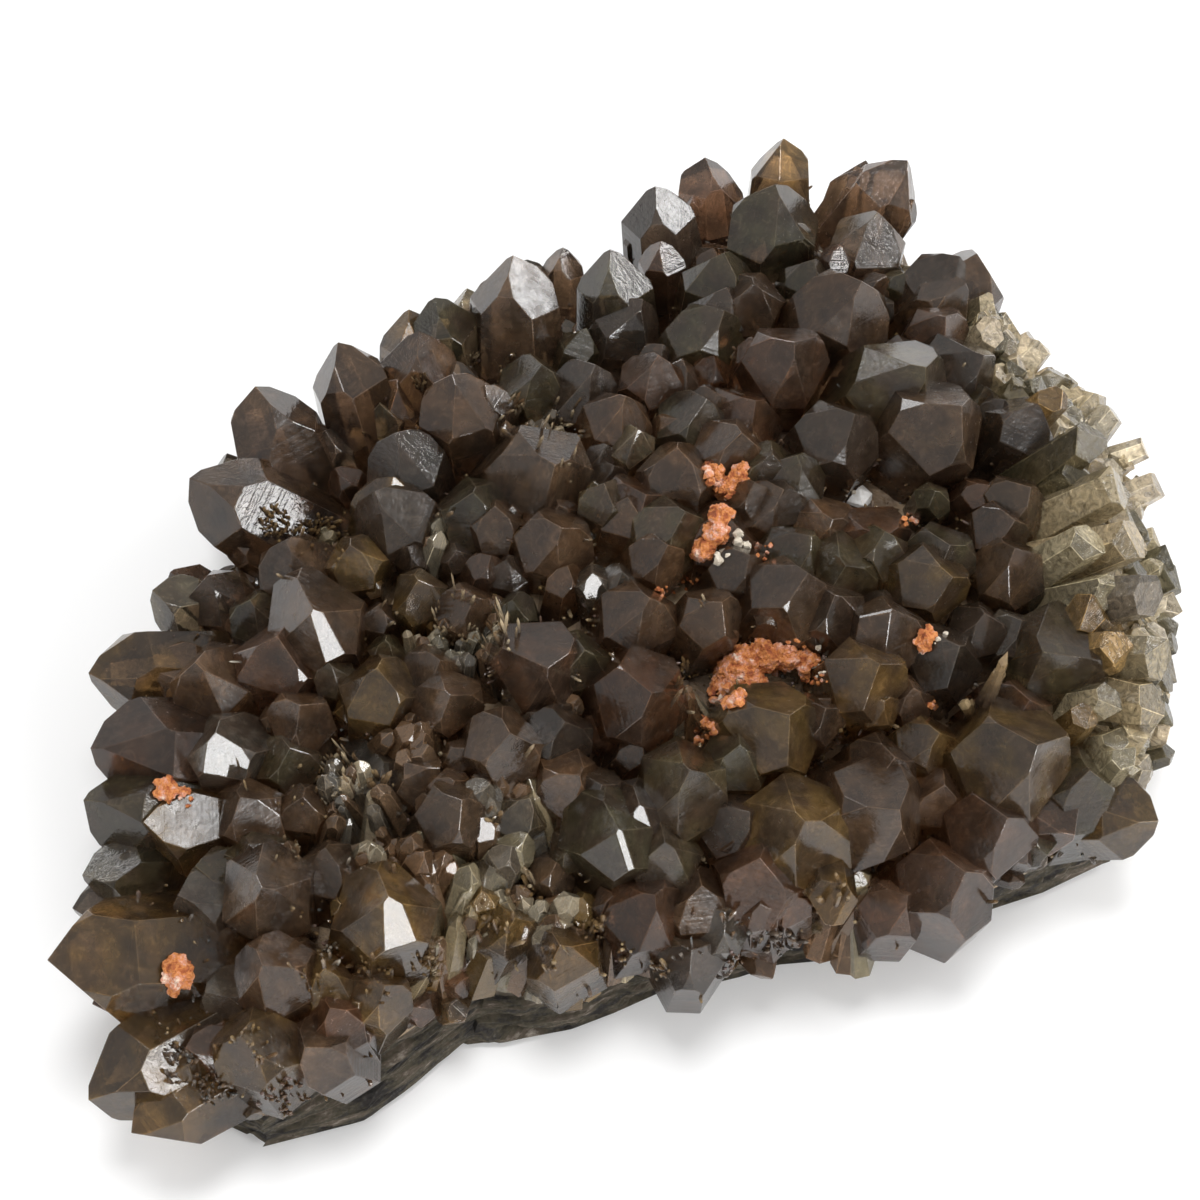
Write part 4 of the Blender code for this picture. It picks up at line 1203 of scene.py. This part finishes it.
def needle_points(rows):
    """A mesh of loose points that carry each needle's axis, size and tint."""
    mesh = bpy.data.meshes.new("needle feet")
    mesh.from_pydata([foot for foot, _, _, _, _ in rows], [], [])
    mesh.attributes.new("axis", "FLOAT_VECTOR", "POINT")
    mesh.attributes.new("size", "FLOAT_VECTOR", "POINT")
    mesh.attributes.new("tint", "FLOAT_COLOR", "POINT")
    axes = [part for _, axis, _, _, _ in rows for part in axis]
    sizes = [part for _, _, length, width, _ in rows for part in (width, width, length)]
    rng = random.Random(len(rows))
    tints = []
    for _, _, _, _, tint in rows:
        clear = rng.uniform(0.0, 1.3)
        tints += [root + (own - root) * clear for root, own in zip(ROOT_BROWN, DRUSE_TINTS[tint])]
        tints.append(1.0)
    mesh.attributes["axis"].data.foreach_set("vector", axes)
    mesh.attributes["size"].data.foreach_set("vector", sizes)
    mesh.attributes["tint"].data.foreach_set("color", tints)
    return mesh


def needle_tree(needle, material):
    """Geometry nodes: a needle on every point, turned and sized by the point's attributes."""
    tree = bpy.data.node_groups.new("needles on points", "GeometryNodeTree")
    tree.interface.new_socket("Feet", in_out="INPUT", socket_type="NodeSocketGeometry")
    size = tree.interface.new_socket("Needle Size", in_out="INPUT", socket_type="NodeSocketFloat")
    tree.interface.new_socket("Needles", in_out="OUTPUT", socket_type="NodeSocketGeometry")
    inlet = add_node(tree, "NodeGroupInput")
    one = add_node(tree, "GeometryNodeObjectInfo", {"Object": needle})
    axis = add_node(tree, "GeometryNodeInputNamedAttribute", {"Name": "axis"}, data_type="FLOAT_VECTOR")
    sizes = add_node(tree, "GeometryNodeInputNamedAttribute", {"Name": "size"}, data_type="FLOAT_VECTOR")
    turned = add_node(tree, "FunctionNodeAlignRotationToVector", {"Vector": axis.outputs[0]}, axis="Z")
    scaled = add_node(tree, "ShaderNodeVectorMath", {
        0: sizes.outputs[0], "Scale": inlet.outputs["Needle Size"],
    }, operation="SCALE")
    placed = add_node(tree, "GeometryNodeInstanceOnPoints", {
        "Points": inlet.outputs["Feet"],
        "Instance": one.outputs["Geometry"],
        "Rotation": turned.outputs[0],
        "Scale": scaled.outputs[0],
    })
    real = add_node(tree, "GeometryNodeRealizeInstances", {"Geometry": placed.outputs[0]})
    coloured = add_node(tree, "GeometryNodeSetMaterial", {
        "Geometry": real.outputs[0], "Material": material,
    })
    add_node(tree, "NodeGroupOutput", {"Needles": coloured.outputs[0]})
    return tree, size.identifier


def grown(name, unit, rows, material):
    """A copy of the unit mesh on each row's foot, as one plain mesh."""
    needle = linked("one", unit)
    piece = linked(name, needle_points(rows))
    tree, size = needle_tree(needle, material)
    grow = piece.modifiers.new("grow", "NODES")
    grow.node_group = tree
    grow[size] = 1.0
    apply_modifier(piece, grow)
    bpy.data.objects.remove(needle)
    return piece


def druse_material():
    """Late clear quartz: glassy, hardly coloured, its faces too young to be dulled."""
    material, tree = new_material("clear druse quartz")
    place = object_mm(tree)
    tint = attribute(tree, "tint", "Color")
    height = attribute(tree, "height")
    cloud = spread(tree, noise_mm(tree, place, 1.5), 0.3, 0.7, 0.7, 1.15)
    # Each needle is darker towards its foot, where it meets what it grows on: painted shade
    above_root = spread(tree, height, 0.15, 0.9, 0.0, 1.0)
    smoky = mixed(tree, above_root, (*srgb("6e5b4c"), 1), tint)
    surfaced(tree, {
        "Base Color": shaded(tree, smoky, cloud),
        "Roughness": spread(tree, noise_mm(tree, place, 1.0), 0.3, 0.7, 0.02, 0.15),
        "IOR": QUARTZ_IOR,
        "Transmission Weight": 0.6,
        "Normal": bumped(tree, noise_mm(tree, place, 0.35, 5.0), 0.2, 0.1 * MM),
    })
    return material


clear_quartz = druse_material()
show(grown("quartz_sprays", needle_mesh(), sprayed(), clear_quartz), clear_quartz, "smoky_quartz")
sugar = scattered(crust.data, 1800, 41) + scattered(milky.data, 2400, 43)
show(grown("quartz_sugar", needle_mesh(), sugar, clear_quartz), clear_quartz, "smoky_quartz")


# The host rock: dark, thinly layered rock under the quartz, seen as a ragged strip along the front
# and underneath; its edge is broken into ledges that follow the layers
def merged_copy(name, node):
    """A copy of a CAD node's mesh with its loose triangles joined."""
    shape = opened(frame["nodes"][node].data)
    bmesh.ops.remove_doubles(shape, verts=shape.verts, dist=0.002 * MM)
    return written(shape, bpy.data.meshes.new(name))


LAYER_TILT = Vector((0.12, 0.2, 1.0)).normalized()
LEDGE_DEPTH = 2.6 * MM


def ledge(place):
    """How far the edge is broken back here: whole layers of it, then ragged on the small scale."""
    level = place.dot(LAYER_TILT) / (1.7 * MM) + 1.2 * noise.noise(place / (14 * MM))
    layer = math.floor(level)
    depth = noise.noise(Vector((place.x / (9 * MM), place.y / (9 * MM), layer * 3.7)))
    crack = abs(level - layer - 0.5) * 2
    ragged = noise.fractal(place / (2.2 * MM), 0.6, 2.1, 4)
    return LEDGE_DEPTH * (0.45 + 0.6 * depth + 0.35 * max(crack - 0.8, 0) * 5 * 0.3 + 0.16 * ragged)


def layered_rock():
    mesh = merged_copy("host rock layers", "host_rock")
    shape = opened(mesh)
    sides = [edge for edge in shape.edges if any(abs(face.normal.z) < 0.95 for face in edge.link_faces)]
    bmesh.ops.subdivide_edges(shape, edges=sides, cuts=9, use_grid_fill=True)
    shape.normal_update()
    for vert in shape.verts:
        if vert.co.z < 0.05 * MM or abs(vert.normal.z) > 0.9:
            continue
        inward = SLAB_CENTRE - vert.co
        inward.z = 0
        edge_on = min(1.0, vert.co.z / (1.0 * MM))
        vert.co += inward.normalized() * max(ledge(vert.co), 0) * edge_on
    bmesh.ops.triangulate(shape, faces=shape.faces)
    written(shape, mesh)
    return linked("host_rock_layers", mesh)


def host_rock_material():
    """Mica schist: thin grey, olive and brown layers, with mica flakes that glint."""
    material, tree = new_material("mica schist")
    place = object_mm(tree)
    layered = object_mm(tree, (0.25, 0.25, 1.6))
    layers = noise_mm(tree, layered, 1.7, 8.0, 0.7)
    colour = colour_ramp(tree, layers, [
        (0.3, "161413"), (0.43, "2f2b28"), (0.52, "4c4638"), (0.6, "5e5348"), (0.72, "a59c90"),
    ])
    flakes = add_node(tree, "ShaderNodeTexVoronoi", {"Vector": place, "Scale": 1.4})
    rough = spread(tree, flakes.outputs["Distance"], 0.0, 0.5, 0.18, 0.8)
    relief = bumped(tree, layers, 0.9, 1.0 * MM)
    surfaced(tree, {"Base Color": colour, "Roughness": rough, "Metallic": 0.2, "Normal": relief})
    return material


show(layered_rock(), host_rock_material(), "host_rock", "host_rock")


# Rusty crusts: earthy iron oxide in crumbly lumps, powdery orange to pinkish where it is thin
def crumbly(name, node, voxel, depth):
    """The node's own solid, remeshed finely and eaten into by noise."""
    piece = linked(name, merged_copy(name, node))
    remesh = piece.modifiers.new("fine", "REMESH")
    remesh.mode = "VOXEL"
    remesh.voxel_size = voxel
    apply_modifier(piece, remesh)
    normals = [vert.normal.copy() for vert in piece.data.vertices]
    for vert, normal in zip(piece.data.vertices, normals):
        lumps = 0.5 - noise.voronoi(vert.co / (1.9 * MM))[0][0]
        grit = noise.fractal(vert.co / (0.9 * MM), 0.6, 2.2, 4)
        vert.co += normal * depth * (1.3 * lumps + 0.5 * grit)
    return piece


def iron_oxide_material():
    """Limonite and haematite crust: dull, powdery, orange-brown with pink and ochre patches."""
    material, tree = new_material("iron oxide crust")
    place = object_mm(tree)
    patches = noise_mm(tree, place, 2.2, 6.0, 0.7)
    colour = colour_ramp(tree, patches, [
        (0.3, "743a26"), (0.42, "a65c34"), (0.5, "cb8448"), (0.57, "cf8d72"), (0.68, "e8d6c2"),
    ])
    relief = bumped(tree, noise_mm(tree, place, 0.5, 6.0), 1.0, 0.3 * MM)
    surfaced(tree, {"Base Color": colour, "Roughness": 0.88, "Normal": relief})
    return material


rust = iron_oxide_material()
for node in sorted(frame["nodes"]):
    if node.startswith("iron_oxide"):
        show(crumbly(node + "_crust", node, 0.26 * MM, 0.8 * MM), rust, "iron_oxide", node)


# Crumbs of the same crust, and white grains between them, lying loose in the hollows beside it
def chunk_mesh(seed):
    """One angular crumb a unit across."""
    rng = random.Random(seed)
    corners = [Vector([rng.gauss(0, 1) for _ in range(3)]).normalized() * 0.5 for _ in range(16)]
    return convex_mesh("crumb", corners)


def strewn(groups, tint, seed):
    rng = random.Random(seed)
    rows = []
    for group in groups:
        for _ in range(group.count):
            u, v = pixel_in(group, rng)
            size = group.size * rng.uniform(0.4, 1.0) * MM
            axis = Vector([rng.gauss(0, 1) for _ in range(3)]).normalized()
            place, normal, _, _ = skin.ray_cast(VIEWER, sight_line(u, v))
            if place is not None:
                width = size * rng.uniform(0.6, 1.0)
                rows.append((place + normal * size * 0.2, axis, size, width, tint))
    return rows


show(grown("rust_crumbs", chunk_mesh(3), strewn(RUST_CRUMBS, "rose", 51), rust), rust, "iron_oxide")


# White chip: a small flat flake of a white mineral lying among the points at the upper right
def white_mineral_material(name, shaded, lit):
    """White calcite-like flake: dense white, slightly waxy, faintly grey in the hollows of its bumps, which
    is painted shade.
    """
    material, tree = new_material(name)
    place = object_mm(tree)
    cloud = noise_mm(tree, place, 1.2, 4.0)
    colour = colour_ramp(tree, cloud, [(0.35, shaded), (0.6, lit)])
    relief = bumped(tree, cloud, 0.5, 0.3 * MM)
    surfaced(tree, {"Base Color": colour, "Roughness": 0.55, "Normal": relief})
    return material


chip = frame["nodes"]["white_chip"]
chip_white = white_mineral_material("white mineral chip", "e4e1dc", "fbfaf8")
cream = white_mineral_material("cream mineral grains", "b3a692", "ddd3c2")
grains = grown("white_grains", chunk_mesh(8), strewn(WHITE_GRAINS, "white", 52), cream)
show(grains, cream, "white_chip")
for place_in_slots in range(len(chip.material_slots)):
    chip.material_slots[place_in_slots].material = chip_white


# Stage: a white sheet under the cluster, and soft light from above and behind
def sheet_material():
    material, tree = new_material("white paper")
    surfaced(tree, {"Base Color": (*srgb("fbfbfb"), 1), "Roughness": 0.9, "Specular IOR Level": 0.2})
    return material


floor_mesh = bpy.data.meshes.new("floor")
floor_mesh.from_pydata([(-3, -3, 0), (3, -3, 0), (3, 3, 0), (-3, 3, 0)], [], [(0, 1, 2, 3)])
floor_mesh.materials.append(sheet_material())
floor = linked("floor", floor_mesh)


# Sizes in metres and powers in watts; the lamp behind the cluster on the left is the weakest
SOFTBOX_SIZE = 0.55
SOFTBOX_POWER = 9.4
LAMP_SIZE = 0.34
LAMP_POWER = 4.2
BACK_LEFT_POWER = 1.9
SKY_STRENGTH = 0.66


def soft_light(name, place, size, power):
    light = bpy.data.lights.new(name, "AREA")
    light.shape = "DISK"
    light.size = size
    light.energy = power
    made = linked(name, light)
    made.location = place
    made.rotation_euler = (VIEW_TARGET - Vector(place)).to_track_quat("-Z", "Y").to_euler()
    return made


soft_light("overhead softbox", (0.0, 0.1, 1.5), SOFTBOX_SIZE, SOFTBOX_POWER)
for name, place in LAMPS.items():
    soft_light(name, place, LAMP_SIZE, BACK_LEFT_POWER if name == "back left lamp" else LAMP_POWER)

world = bpy.data.worlds.new("studio")
world.use_nodes = True
sky = world.node_tree.nodes["Background"]
sky.inputs["Color"].default_value = (1, 1, 1, 1)
sky.inputs["Strength"].default_value = SKY_STRENGTH

# Light bounces few times, because most of it is lost in the smoky quartz
scene = bpy.context.scene
scene.world = world
scene.view_settings.view_transform = "Standard"
scene.cycles.max_bounces = 6
scene.cycles.transmission_bounces = 5
scene.cycles.diffuse_bounces = 2
scene.cycles.glossy_bounces = 3

camera_data = bpy.data.cameras.new("camera")
camera_data.lens = camera_data.sensor_width * VIEW_DISTANCE / PICTURE_WIDTH
camera_data.clip_start = 0.01
camera = linked("camera", camera_data)
camera.location = VIEWER
camera.rotation_euler = (VIEW_TARGET - VIEWER).to_track_quat("-Z", "Y").to_euler()
scene.camera = camera
